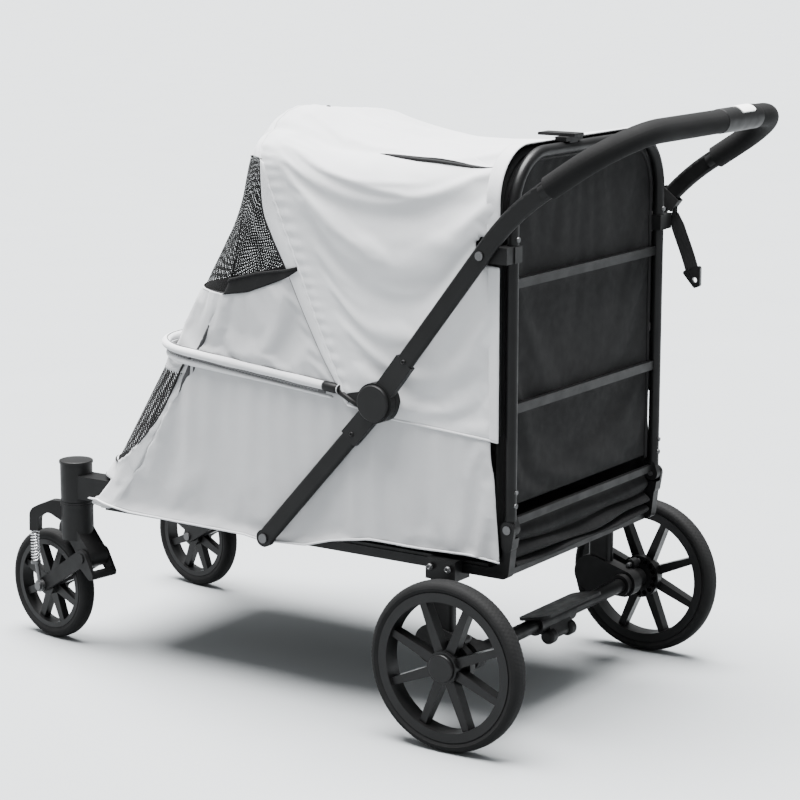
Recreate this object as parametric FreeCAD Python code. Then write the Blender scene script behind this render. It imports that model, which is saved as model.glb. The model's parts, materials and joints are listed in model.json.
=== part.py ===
import FreeCAD, Part
import math
import os
from FreeCAD import Vector

# Pet stroller. Millimetres, +Z up, front towards -Y, +X is the stroller's left.
# Everything is drawn with the rear axle at Y = 0, then moved by FRAME_SHIFT_Y so that the
# origin is under the middle of the whole stroller, on the floor.
FRAME_SHIFT_Y = 371.8

# wheels
REAR_WHEEL_R = 140.0
REAR_TYRE_W = 34.6
REAR_WHEEL_X = 327.4
FRONT_WHEEL_R = 101.5
FRONT_TYRE_W = 30.0
SPOKES = 8
AXLE_R = 5.0

# base frame
RAIL_OUT_X = 247.0
RAIL_W = 18.0
RAIL_Z0 = 270.0
RAIL_Z1 = 286.0
RAIL_REAR_Y = 46.0
RAIL_FRONT_Y = -788.0
WALL = 1.6
CASTER_X = 211.0
CASTER_Y = -868.0
CASTER_YAW = -8.0
HOUSING_R = 29.0
LEG_Y = -52.0
LEG_X = 259.0

# side layers, measured outwards from the middle plane
LUG_X0 = 228.5
LUG_X1 = 241.8
FABRIC_X0 = 251.6
FABRIC_X1 = 254.0
ARM_X0 = 256.0
ARM_X1 = 269.0
HANDLE_X0 = 270.0
HANDLE_X1 = 283.0
HANDLE_X = (HANDLE_X0 + HANDLE_X1) / 2

# pivots of the folding linkage, as (Y, Z)
PIVOT_ARM = (-405.0, 276.0)
PIVOT_DISC = (-170.0, 536.0)
PIVOT_HANDLE = (27.0, 789.0)
PIVOT_FRAME = (60.0, 352.0)
PIVOT_BOW = (-236.0, 530.0)
PIN_R = 4.0
RUNNING = 0.05

# handle
TUBE_H = 30.0
DISC_R = 33.0
SLEEVE_LEN = 92.0
HANDLE_KNEE = (80.0, 857.0)
HANDLE_BAR = (275.0, 985.0)
HANDLE_BAR_R = 12.0
GRIP_R = 19.0
HANDLE_CORNER_R = 105.0
RELEASE_X0 = -149.0
RELEASE_X1 = -24.0

# rear arch
ARCH_TUBE_R = 9.5
ARCH_X = 237.5
ARCH_Y = 59.5
ARCH_TOP = 941.0
ARCH_CORNER_R = 92.0
ARCH_FOOT = 374.0
CROSSBAR_Z = (352.0, 535.5, 733.6)
CROSSBAR_H = 15.0

# cabin
CABIN_SIDE_R = 85.0
RIM_R = 7.0
RIM_REAR_Y = -262.0
RIM_FRONT_Y = -661.0
BOW_TOP_LEN = 462.0
BOW_CROWN = 34.0
BOW_CORNER_R = 80.0
BOW_CROWN_R = 420.0
BOW_ANGLE = 115.5
FLOOR_FRONT_Y = -768.0
CUSHION_TOP = 320.0

# brake
PEDAL_R = 18.0
AXLE_TUBE_R = 12.5
BRAKE_PIN_R = 4.0
BRAKE_PIN_OFFSET = 30.0
BRAKE_TEETH = 16
BRAKE_PIN_TIP_X = 303.5

parts = {}


def add(name, *shapes):
    """Keep the separate solids of one node."""
    solids = []
    for shape in shapes:
        solids += shape.Solids
    parts[name] = Part.makeCompound(solids) if len(solids) > 1 else solids[0]


def mirrored(shape):
    return shape.mirror(Vector(0, 0, 0), Vector(1, 0, 0))


def pair(shape):
    """A shape on the left side and its mirror image on the right."""
    return [shape, mirrored(shape)]


def box(x0, x1, y0, y1, z0, z1):
    return Part.makeBox(x1 - x0, y1 - y0, z1 - z0, Vector(x0, y0, z0))


def rod_x(radius, x0, x1, y, z):
    return Part.makeCylinder(radius, x1 - x0, Vector(x0, y, z), Vector(1, 0, 0))


def ring_x(r_out, r_in, x0, x1, y, z):
    return rod_x(r_out, x0, x1, y, z).cut(rod_x(r_in, x0 - 1, x1 + 1, y, z))


def rod_z(radius, x, y, z0, z1):
    return Part.makeCylinder(radius, z1 - z0, Vector(x, y, z0))


def fuse(shapes):
    result = shapes[0]
    for shape in shapes[1:]:
        result = result.fuse(shape)
    return result.removeSplitter()


def softened(shape, radius, chosen):
    """Round the edges that chosen() picks."""
    edges = [e for e in shape.Edges if chosen(e)]
    return shape.makeFillet(radius, edges)


def along_x(edge):
    ends = [vertex.Point for vertex in edge.Vertexes]
    return len(ends) == 2 and abs(ends[0].x - ends[1].x) > 1


def corner_points(before, corner, after, radius):
    """Where an arc of this radius leaves and joins the two sides of a corner, and its middle."""
    a = (before - corner).normalize()
    b = (after - corner).normalize()
    half = a.getAngle(b) / 2
    reach = radius / math.tan(half)
    centre = corner + (a + b).normalize() * (radius / math.sin(half))
    middle = centre + (corner - centre).normalize() * radius
    return corner + a * reach, middle, corner + b * reach


def path(points, radii, closed=False):
    """A wire of straight runs joined by tangent arcs."""
    count = len(points)
    edges = []
    starts = {}
    ends = {}
    for i, point in enumerate(points):
        inner = closed or 0 < i < count - 1
        if inner and radii[i] > 0:
            before = points[i - 1]
            after = points[(i + 1) % count]
            first, middle, last = corner_points(before, point, after, radii[i])
            ends[i] = first
            starts[i] = last
            edges.append((i + 0.5, Part.Arc(first, middle, last).toShape()))
        else:
            ends[i] = point
            starts[i] = point
    runs = count if closed else count - 1
    for i in range(runs):
        a = starts[i]
        b = ends[(i + 1) % count]
        if (b - a).Length > 0.01:
            edges.append((i + 0.75, Part.LineSegment(a, b).toShape()))
    edges.sort(key=lambda item: item[0])
    return Part.Wire([edge for _, edge in edges])


def prism_x(points, x0, x1, radii=None):
    """A plate across X whose outline is a list of (Y, Z) points with rounded corners."""
    corners = [Vector(x0, y, z) for y, z in points]
    rounding = radii if radii else [0] * len(points)
    wire = path(corners, rounding, closed=True)
    return Part.Face(wire).extrude(Vector(x1 - x0, 0, 0))


def pipe(points, radii, radius, hollow=0.0):
    """A round tube along straight runs and tangent arcs."""
    spine = path(points, radii)
    start = points[0]
    direction = points[1] - points[0]

    def swept(r):
        circle = Part.Wire([Part.makeCircle(r, start, direction)])
        return spine.makePipeShell([circle], True, False)

    solid = Part.Solid(swept(radius))
    if hollow:
        solid = solid.cut(Part.Solid(swept(hollow)))
    return solid


def unit(a, b):
    """Direction from (Y, Z) point a to b, and the distance."""
    dy = b[0] - a[0]
    dz = b[1] - a[1]
    length = math.hypot(dy, dz)
    return dy / length, dz / length, length


def offset_point(origin, direction, along, across):
    dy, dz = direction[0], direction[1]
    return origin[0] + dy * along - dz * across, origin[1] + dz * along + dy * across


def band(points, half, radius):
    """Outline of a bar of constant height along a bent centre line, with its corner radii."""
    upper = []
    lower = []
    for i, point in enumerate(points):
        if i == 0:
            d = unit(point, points[1])
            shift = 1.0
        elif i == len(points) - 1:
            d = unit(points[i - 1], point)
            shift = 1.0
        else:
            d0 = unit(points[i - 1], point)
            d1 = unit(point, points[i + 1])
            sum_y = d0[0] + d1[0]
            sum_z = d0[1] + d1[1]
            length = math.hypot(sum_y, sum_z)
            d = (sum_y / length, sum_z / length)
            shift = 2 / length
        upper.append(offset_point(point, d, 0, half * shift))
        lower.append(offset_point(point, d, 0, -half * shift))
    turn = 1 if upper[1][1] > lower[1][1] else -1
    inner = len(points) - 2
    radii_up = [0] + [radius + turn * half] * inner + [0]
    radii_down = [0] + [radius - turn * half] * inner + [0]
    return upper + lower[::-1], radii_up + radii_down[::-1]


def hull_x(a, radius_a, b, radius_b, x0, x1):
    """A link plate across X: two round ends joined by their outer tangents."""
    dy, dz, length = unit(a, b)
    lean = math.asin((radius_a - radius_b) / length)
    base = math.atan2(dz, dy)
    outline = []
    for side in (1, -1):
        angle = base + side * (math.pi / 2 - lean)
        outline.append((a[0] + radius_a * math.cos(angle), a[1] + radius_a * math.sin(angle)))
        outline.append((b[0] + radius_b * math.cos(angle), b[1] + radius_b * math.sin(angle)))
    middle = prism_x([outline[0], outline[1], outline[3], outline[2]], x0, x1)
    ends = [rod_x(radius_a, x0, x1, *a), rod_x(radius_b, x0, x1, *b)]
    return fuse([middle] + ends)


# ---------------------------------------------------------------- wheels


def tyre(x, y, z, radius, width, rim_radius):
    """Tyre with a round tread and a narrow bead that sits on the rim."""
    half = width / 2
    shoulder = radius - 9.0
    bead = half - 3.0
    points = [
        Vector(-bead, rim_radius, 0),
        Vector(-half, rim_radius + 6.0, 0),
        Vector(-half, shoulder, 0),
        Vector(-half * 0.55, radius, 0),
        Vector(half * 0.55, radius, 0),
        Vector(half, shoulder, 0),
        Vector(half, rim_radius + 6.0, 0),
        Vector(bead, rim_radius, 0),
    ]
    rounding = [0, 3, 8, 12, 12, 8, 3, 0]
    section = Part.Face(path(points, rounding, closed=True))
    solid = section.revolve(Vector(0, 0, 0), Vector(1, 0, 0), 360)
    solid.translate(Vector(x, y, z))
    return solid


def spoke(r0, r1, width0, width1, depth, x):
    """One tapered spoke pointing along +Z from the wheel's centre."""
    points = [(-width0 / 2, r0), (width0 / 2, r0), (width1 / 2, r1), (-width1 / 2, r1)]
    return prism_x(points, x - depth / 2, x + depth / 2)


def rim(x, y, z, rim_radius, band_depth, hub_radius, hub_half, bore, depth):
    """One moulded rim: outer band, hub and spokes."""
    half = depth / 2
    outer = ring_x(rim_radius, rim_radius - band_depth, -half - 4, half + 4, 0, 0)
    hub = rod_x(hub_radius, -hub_half, hub_half, 0, 0)
    pieces = [outer, hub]
    for i in range(SPOKES):
        arm = spoke(hub_radius - 4, rim_radius - band_depth + 2, 17, 12, depth * 0.8, 0)
        arm.rotate(Vector(0, 0, 0), Vector(1, 0, 0), (i + 0.5) * 360 / SPOKES)
        pieces.append(arm)
    solid = fuse(pieces).cut(rod_x(bore, -hub_half - 1, hub_half + 1, 0, 0))
    solid.translate(Vector(x, y, z))
    return solid


def brake_ring(x0, x1):
    """Toothed ring on the inner side of a rear rim: pockets between its teeth hold the brake pin."""
    ring = ring_x(38, 14, x0, x1, 0, REAR_WHEEL_R)
    for i in range(BRAKE_TEETH):
        angle = math.radians(i * 360 / BRAKE_TEETH)
        y = BRAKE_PIN_OFFSET * math.sin(angle)
        z = REAR_WHEEL_R + BRAKE_PIN_OFFSET * math.cos(angle)
        ring = ring.cut(rod_x(BRAKE_PIN_R + 0.6, x0 - 1, x0 + 9, y, z))
    return ring


def rear_wheels():
    rim_radius = 121.6
    inner_face = REAR_WHEEL_X - 22
    wheel_rim = rim(REAR_WHEEL_X, 0, REAR_WHEEL_R, rim_radius, 15, 27, 17, AXLE_R + RUNNING, 24)
    wheel_rim = fuse([wheel_rim, brake_ring(inner_face, REAR_WHEEL_X - 8)])
    wheel_rim = wheel_rim.cut(rod_x(AXLE_R + RUNNING, 280, 360, 0, REAR_WHEEL_R))
    wheel_tyre = tyre(REAR_WHEEL_X, 0, REAR_WHEEL_R, REAR_WHEEL_R, REAR_TYRE_W, rim_radius)
    outer_face = REAR_WHEEL_X + 17
    cap = rod_x(23, outer_face, outer_face + 5, 0, REAR_WHEEL_R)
    cap = softened(cap, 3, lambda e: e.CenterOfMass.x > outer_face + 4)
    cap = cap.cut(rod_x(AXLE_R + 1, outer_face - 1, outer_face + 2, 0, REAR_WHEEL_R))
    for side, name in ((1, "left"), (-1, "right")):
        place = (lambda s: s) if side > 0 else mirrored
        add("rear_rim_" + name, place(wheel_rim))
        add("rear_tyre_" + name, place(wheel_tyre))
        add("rear_hub_cap_" + name, place(cap))


# ---------------------------------------------------------------- casters

WHEEL_LEAD = 70.0
FORK_PIVOT = (38.0, 170.0)
AXLE_POINT = (-WHEEL_LEAD, FRONT_WHEEL_R)
GOOSENECK_END = (33.0, -80.0, 205.0)
STEM_R = 8.0
SEAM_Z = 268.0


def caster_pieces():
    """Left caster about its swivel axis at X = 0, Y = 0, wheel straight ahead towards -Y."""
    body = rod_z(HOUSING_R, 0, 0, 198, SEAM_Z - 0.5)
    foot = hull_x((-6, 214), 22, FORK_PIVOT, 20, -20.5, 20.5)
    body = fuse([body, foot, rod_z(HOUSING_R + 1.2, 0, 0, 258, 263)])
    for lift in (0.0, 12.0):
        body = body.cut(rod_x(FRONT_WHEEL_R + 5, -21, 21, AXLE_POINT[0], AXLE_POINT[1] + lift))
    body = body.cut(rod_x(PIN_R + RUNNING, -40, 40, *FORK_PIVOT))
    hook = [(0, 263), (48, 265), (93, 246), (94, 205), (76, 205), (75, 230), (56, 243), (0, 212)]
    neck = prism_x(hook, -8, 8, [0, 22, 20, 0, 0, 9, 14, 0])
    swing = math.degrees(math.atan2(GOOSENECK_END[0], -GOOSENECK_END[1]))
    neck = neck.mirror(Vector(0, 0, 0), Vector(0, 1, 0))
    neck.rotate(Vector(0, 0, 0), Vector(0, 0, 1), swing)
    stem = rod_z(STEM_R, 0, 0, 240, 322)
    body = fuse([body, neck.cut(rod_z(HOUSING_R - 6, 0, 0, 190, 280)), stem])
    spring_x, spring_y = GOOSENECK_END[:2]
    body = body.cut(rod_z(5, spring_x, spring_y, 200, 222))

    arms = []
    for side in (1, -1):
        x0, x1 = (21.5, 28.5) if side > 0 else (-28.5, -21.5)
        arm = hull_x(FORK_PIVOT, 15, AXLE_POINT, 12, x0, x1)
        tail = hull_x(FORK_PIVOT, 15, (62, 142), 8, x0, x1)
        arms.append(fuse([arm, tail]))
    fork = fuse(arms + [rod_x(8, -28.5, 28.5, 62, 142)])
    pivot_pin = rod_x(PIN_R, -31, 31, *FORK_PIVOT)
    fork = fuse([fork, pivot_pin, rod_x(9, 28.5, 31, *FORK_PIVOT), rod_x(9, -31, -28.5, *FORK_PIVOT)])
    fork = fork.cut(rod_x(PIN_R, -40, 40, *AXLE_POINT))

    bolt = rod_x(PIN_R, -31, 38, *AXLE_POINT)
    heads = [rod_x(7.5, 36, 40, *AXLE_POINT), rod_x(7.5, -32, -28.5, *AXLE_POINT)]
    eye = rod_x(11, 29.5, 36, *AXLE_POINT)
    rod_top = Vector(spring_x, spring_y, 158)
    rod_foot = Vector(spring_x, AXLE_POINT[0], AXLE_POINT[1])
    rise = rod_top - rod_foot
    rod = Part.makeCylinder(4, rise.Length, rod_foot, rise)
    seat = rod_z(9, spring_x, spring_y, 142, 147)
    strut = fuse([bolt, eye, rod, seat] + heads)
    spring = rod_z(8.5, spring_x, spring_y, 147, 204.5).cut(rod_z(6, spring_x, spring_y, 140, 210))

    rim_radius = 82.0
    wheel_rim = rim(0, AXLE_POINT[0], AXLE_POINT[1], rim_radius, 9, 20, 19, PIN_R + RUNNING, 18)
    wheel_tyre = tyre(0, AXLE_POINT[0], AXLE_POINT[1], FRONT_WHEEL_R, FRONT_TYRE_W, rim_radius)
    return {
        "swivel_body": body,
        "swivel_fork": fork,
        "spring_strut": strut,
        "caster_spring": spring,
        "front_rim": wheel_rim,
        "front_tyre": wheel_tyre,
    }


def casters():
    pieces = caster_pieces()
    for side, name in ((1, "left"), (-1, "right")):
        for piece, shape in pieces.items():
            solid = shape.copy() if side > 0 else mirrored(shape)
            solid.rotate(Vector(0, 0, 0), Vector(0, 0, 1), CASTER_YAW)
            solid.translate(Vector(side * CASTER_X, CASTER_Y, 0))
            add(piece + "_" + name, solid)


# ---------------------------------------------------------------- base frame


def square_tube(x0, x1, y0, y1, z0, z1):
    """Thin-walled box tube, open along its longest side."""
    size = (x1 - x0, y1 - y0, z1 - z0)
    grow = [WALL] * 3
    grow[size.index(max(size))] = -1
    outer = box(x0, x1, y0, y1, z0, z1)
    inner = box(x0 + grow[0], x1 - grow[0], y0 + grow[1], y1 - grow[1], z0 + grow[2], z1 - grow[2])
    return outer.cut(inner)


def base_frame():
    in_x = RAIL_OUT_X - RAIL_W
    side = square_tube(in_x, RAIL_OUT_X, RAIL_FRONT_Y + RAIL_W, RAIL_REAR_Y - 18, RAIL_Z0, RAIL_Z1)
    post_path = [(RAIL_REAR_Y - 18, 278), (RAIL_REAR_Y + 8, 278), (PIVOT_FRAME[0], 334)]
    outline, radii = band(post_path, 8, 20)
    post = prism_x(outline, in_x, RAIL_OUT_X, radii)
    ear = hull_x((PIVOT_FRAME[0] - 1, 326), 10, PIVOT_FRAME, 13, in_x, RAIL_OUT_X + 2)
    post = fuse([post, ear])
    knuckle_room = box(in_x - 5, LUG_X1 + 0.4, 30, 90, PIVOT_FRAME[1] - 14, 380)
    post = post.cut(knuckle_room).cut(rod_x(PIN_R, 220, 256, *PIVOT_FRAME))
    add("side_rails", *pair(fuse([side, post])))

    corner_x = RAIL_OUT_X - RAIL_W / 2
    front_y = RAIL_FRONT_Y + RAIL_W
    front = square_tube(-corner_x, corner_x, RAIL_FRONT_Y, front_y, RAIL_Z0, RAIL_Z1)
    middle = square_tube(-in_x, in_x, -420, -402, RAIL_Z0, RAIL_Z1)
    rear = square_tube(-in_x, in_x, RAIL_REAR_Y - 14, RAIL_REAR_Y + 4, RAIL_Z0, RAIL_Z1)
    add("cross_rails", front, middle, rear)

    pin_f = rod_x(PIN_R, 225.5, 250, *PIVOT_FRAME)
    head_f = rod_x(7, 249, 251, *PIVOT_FRAME)
    pin_a = rod_x(PIN_R, RAIL_OUT_X, ARM_X1 + 1, *PIVOT_ARM)
    head_a = rod_x(8, ARM_X1 + 0.5, ARM_X1 + 3.5, *PIVOT_ARM)
    washer = rod_x(9, RAIL_OUT_X, ARM_X0 - 0.5, *PIVOT_ARM)
    bolts = [rod_x(3, 269, 274, LEG_Y + dy, 279) for dy in (-17, 17)]
    heads = [rod_x(5.5, 272, 275, LEG_Y + dy, 279) for dy in (-17, 17)]
    fasteners = [fuse([pin_f, head_f]), fuse([pin_a, head_a, washer])]
    fasteners += [fuse([bolt, head]) for bolt, head in zip(bolts, heads)]
    solids = []
    for solid in fasteners:
        solids += pair(solid)
    add("chassis_fasteners", *solids)


def front_supports():
    housing = rod_z(HOUSING_R, 0, 0, SEAM_Z + 0.5, 337).cut(rod_z(STEM_R + RUNNING, 0, 0, 260, 330))
    lip = rod_z(HOUSING_R + 1.5, 0, 0, 337, 342)
    housing = softened(fuse([housing, lip]), 1.5, lambda e: e.CenterOfMass.z > 341)
    housing.translate(Vector(CASTER_X, CASTER_Y, 0))
    add("caster_housings", *pair(housing))

    neck = box(190, 232, CASTER_Y + 10, RAIL_FRONT_Y, 276, 318)
    foot = box(190, 232, RAIL_FRONT_Y, RAIL_FRONT_Y + 18, RAIL_Z1, 318)
    bracket = fuse([neck, foot])
    bracket = softened(bracket, 5, lambda e: along_x(e) and e.CenterOfMass.z > 317)
    bracket = bracket.cut(rod_z(HOUSING_R, CASTER_X, CASTER_Y, 200, 400))
    add("caster_brackets", *pair(bracket))


def rear_supports():
    outer = box(LEG_X - 10, LEG_X + 10, LEG_Y - 22, LEG_Y + 22, 160, 262)
    outer = softened(outer, 8, lambda e: abs(e.Vertexes[0].Z - e.Vertexes[-1].Z) > 50)
    hollow = box(LEG_X - 7, LEG_X + 7, LEG_Y - 19, LEG_Y + 19, 150, 262)
    saddle = box(RAIL_OUT_X, LEG_X + 10, LEG_Y - 28, LEG_Y + 28, 258, 292)
    saddle = saddle.fuse(box(225, RAIL_OUT_X, LEG_Y - 28, LEG_Y + 28, 258, RAIL_Z0))
    saddle = saddle.cut(box(200, RAIL_OUT_X, LEG_Y - 40, LEG_Y + 40, RAIL_Z0, 300))
    leg = fuse([outer.cut(hollow), saddle.removeSplitter()])
    leg = leg.cut(rod_x(3, 250, 290, LEG_Y - 17, 279)).cut(rod_x(3, 250, 290, LEG_Y + 17, 279))
    leg = leg.cut(box(LEG_X + 10, 300, -200, 200, 200, 400))
    add("rear_legs", *pair(leg))

    body = hull_x((-66, 150), 33, (0, REAR_WHEEL_R), 24, 246, 272)
    socket = box(LEG_X - 10, LEG_X + 10, LEG_Y - 22, LEG_Y + 22, 160, 190)
    socket = softened(socket, 8, lambda e: abs(e.Vertexes[0].Z - e.Vertexes[-1].Z) > 20)
    collar = rod_x(19, 232, 246, 0, REAR_WHEEL_R)
    nose = rod_x(16, 272, 304, 0, REAR_WHEEL_R)
    body = fuse([body, collar, nose]).cut(socket)
    body = body.cut(rod_x(AXLE_R, 200, 320, 0, REAR_WHEEL_R))
    body = body.cut(rod_x(AXLE_TUBE_R, 200, 268, 0, REAR_WHEEL_R))
    pin_z = REAR_WHEEL_R + BRAKE_PIN_OFFSET
    guide = rod_x(9, 272, 290, 0, pin_z)
    body = fuse([body, guide])
    body = body.cut(rod_x(BRAKE_PIN_R + RUNNING, 240, 300, 0, pin_z))
    add("axle_housings", *pair(body))

    add("axle_tube", ring_x(AXLE_TUBE_R, AXLE_TUBE_R - WALL, -268, 268, 0, REAR_WHEEL_R))
    add("rear_axle", rod_x(AXLE_R, -REAR_WHEEL_X - 18, REAR_WHEEL_X + 18, 0, REAR_WHEEL_R))

    pin = rod_x(BRAKE_PIN_R, 262, BRAKE_PIN_TIP_X, 0, pin_z)
    add("brake_pin_left", pin)
    add("brake_pin_right", mirrored(pin))


def brake_pedal():
    sleeve = ring_x(PEDAL_R, AXLE_TUBE_R + RUNNING, -52, 62, 0, REAR_WHEEL_R)
    wing = box(-104, 86, -16, 44, REAR_WHEEL_R + 14, REAR_WHEEL_R + 19)
    wing = softened(wing, 14, lambda e: abs(e.Vertexes[0].Z - e.Vertexes[-1].Z) > 1)
    wing.rotate(Vector(0, 0, REAR_WHEEL_R), Vector(1, 0, 0), 12)
    wing = wing.cut(rod_x(AXLE_TUBE_R + RUNNING, -120, 120, 0, REAR_WHEEL_R))
    lobes = []
    for x in (-26, 36):
        lobe = rod_x(13, x - 11, x + 11, 16, REAR_WHEEL_R - 22)
        lobe = softened(lobe, 6, lambda e: e.Length > 60)
        lobes.append(lobe)
    web = hull_x((0, REAR_WHEEL_R), 15, (16, REAR_WHEEL_R - 22), 8, -30, 40)
    pedal = fuse([sleeve, wing, web] + lobes)
    add("brake_pedal", pedal.cut(rod_x(AXLE_TUBE_R + RUNNING, -120, 120, 0, REAR_WHEEL_R)))


# ---------------------------------------------------------------- floor and cabin

HEM = [(60, 300), (-100, 301), (-200, 300), (-274, 290), (-330, 273), (-459, 273), (-707, 276),
       (-792, 286), (-930, 286)]
TOP_OUTLINE = [(46, 953), (-330, 979), (-462, 1004), (-500, 820), (-779, 362), (-900, 237),
               (46, 237)]
TOP_ROUNDING = [0, 500, 100, 300, 300, 0, 0]


def rim_height(y):
    """Height of the sloping rim line at Y."""
    return 545 - (y + 246) * 0.0929


def cabin_form(inset):
    """Outer form of the whole cabin: side outline across the width with rounded front corners."""
    half = FABRIC_X1 - inset
    corners = [Vector(-half, y, z) for y, z in TOP_OUTLINE]
    wire = path(corners, TOP_ROUNDING, closed=True)
    if inset:
        wire = wire.makeOffset2D(-inset)
    solid = Part.Face(wire).extrude(Vector(2 * half, 0, 0))

    def on_front(edge):
        middle = edge.CenterOfMass
        y_limit = middle.y < 43 - inset
        return abs(abs(middle.x) - half) < 0.01 and y_limit and middle.z > 245

    edges = [e for e in solid.Edges if on_front(e)]
    return solid.makeFillet(CABIN_SIDE_R - inset, edges)


def cabin():
    wall = FABRIC_X1 - FABRIC_X0
    shell = cabin_form(0).cut(cabin_form(wall))
    far = 400.0
    rim_front = rim_height(-930)
    bow_low = (-243.0, rim_height(-243) + 9)
    bow_high = (-335.0, 722.0)
    band_front = (-700.0, 662.0)
    mesh_top = (-410.0, 905.0)

    seam = [(46 - wall, 492.5), (26, 494.5), (-162, 507.5), (-238, 520)]
    rim_low = [(-246, rim_height(-246) - 9), (-930, rim_front - 9)]
    hem = [point for point in HEM if point[0] < 40]
    tub = [(46 - wall, 300)] + seam + rim_low + hem[::-1]
    mesh_low = [(-560, 700), (-560, 566), (-635, 458), (-727, 364), (-930, 350), (-930, 700)]
    cover = [bow_low, bow_high, band_front, (-930, 640), (-930, rim_front + 9)]
    mesh_high = [(-335.5, 723), (-410, 904), (-700, 904), (-700, 663)]
    canopy = [(46 - wall, 493.5), (46 - wall, 1100), (-700, 1100), (-700, 905), mesh_top]
    canopy += [bow_high, bow_low, (-238, 521), (-162, 508.5), (26, 495.5)]

    mesh_low_block = prism_x(mesh_low, -far, far)
    tub_block = prism_x(tub, -far, far)
    tub_all = shell.common(tub_block)
    bracket_room = pair(box(186, 236, -870, FLOOR_FRONT_Y, 250, 323))
    tub_solid = tub_all.cut(mesh_low_block)
    for room in bracket_room:
        tub_solid = tub_solid.cut(room)
    bracket = hull_x(PIVOT_BOW, 13.5, PIVOT_DISC, 22, -300, 300)
    pin_room = rod_x(12, -300, 300, *PIVOT_ARM)
    leg_room = box(-300, 300, LEG_Y - 30, LEG_Y + 30, 200, 300.9)
    add("cabin_tub", tub_solid.cut(pin_room).cut(leg_room).cut(bracket))
    add("lower_mesh", tub_all.common(mesh_low_block))
    add("front_cover", shell.common(prism_x(cover, -far, far)))
    add("upper_mesh", shell.common(prism_x(mesh_high, -far, far)))
    canopy_solid = shell.common(prism_x(canopy, -far, far))
    notch = box(-300, 300, 2, 60, 764, 816)
    add("canopy_cover", canopy_solid.cut(notch).cut(bracket))

    x = FABRIC_X1 + 4.5
    rim_points = [
        Vector(x, RIM_REAR_Y, rim_height(RIM_REAR_Y)),
        Vector(x, RIM_FRONT_Y, rim_height(RIM_FRONT_Y)),
        Vector(-x, RIM_FRONT_Y, rim_height(RIM_FRONT_Y)),
        Vector(-x, RIM_REAR_Y, rim_height(RIM_REAR_Y)),
    ]
    add("cabin_rim", pipe(rim_points, [0, 86, 86, 0], RIM_R))


def floor_pieces():
    def front_corner(edge):
        return abs(edge.Vertexes[0].Z - edge.Vertexes[-1].Z) > 1 and edge.CenterOfMass.y < -700

    board = box(-245, 245, FLOOR_FRONT_Y, 24, RAIL_Z1 + 0.5, RAIL_Z1 + 5.5)
    add("floor_board", softened(board, 60, front_corner))
    cushion = box(-240, 240, FLOOR_FRONT_Y + 12, 20, RAIL_Z1 + 6, CUSHION_TOP)
    cushion = softened(cushion, 60, front_corner)
    cushion = softened(cushion, 8, lambda e: abs(e.CenterOfMass.z - CUSHION_TOP) < 0.1)
    add("floor_cushion", cushion)
    add("base_cover", box(-224, 224, FLOOR_FRONT_Y, 26, 264, RAIL_Z0 - 0.5))
    liner = box(-224, 224, 36, 52, RAIL_Z1 + 3, 344)
    add("liner_roll", softened(liner, 6, lambda e: e.Length > 400))


def canopy_bow():
    """Flat spring strip bent into a hoop, hinged at both ends on the bow brackets."""
    half = FABRIC_X0 - 0.6
    strip = 3.2
    height = BOW_TOP_LEN
    shoulder = height - BOW_CROWN
    outer = [
        Vector(half, 0, 0),
        Vector(half, 0, shoulder),
        Vector(0, 0, height),
        Vector(-half, 0, shoulder),
        Vector(-half, 0, 0),
    ]
    inner_half = half - strip
    inner = [
        Vector(-inner_half, 0, 0),
        Vector(-inner_half, 0, shoulder - strip),
        Vector(0, 0, height - strip),
        Vector(inner_half, 0, shoulder - strip),
        Vector(inner_half, 0, 0),
    ]
    inner_corner = BOW_CORNER_R - strip
    rounding = [0, BOW_CORNER_R, BOW_CROWN_R, BOW_CORNER_R, 0]
    rounding += [0, inner_corner, BOW_CROWN_R - strip, inner_corner, 0]
    face = Part.Face(path(outer + inner, rounding, closed=True))
    face.translate(Vector(0, -8, 0))
    hoop = face.extrude(Vector(0, 16, 0))
    hoop.rotate(Vector(0, 0, 0), Vector(1, 0, 0), BOW_ANGLE - 90)
    hoop.translate(Vector(0, *PIVOT_BOW))
    eyes = [rod_x(8, inner_half, half, *PIVOT_BOW), rod_x(8, -half, -inner_half, *PIVOT_BOW)]
    hoop = fuse([hoop] + eyes).cut(rod_x(PIN_R + RUNNING, -300, 300, *PIVOT_BOW))
    add("canopy_bow", hoop)


# ---------------------------------------------------------------- rear frame


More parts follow.
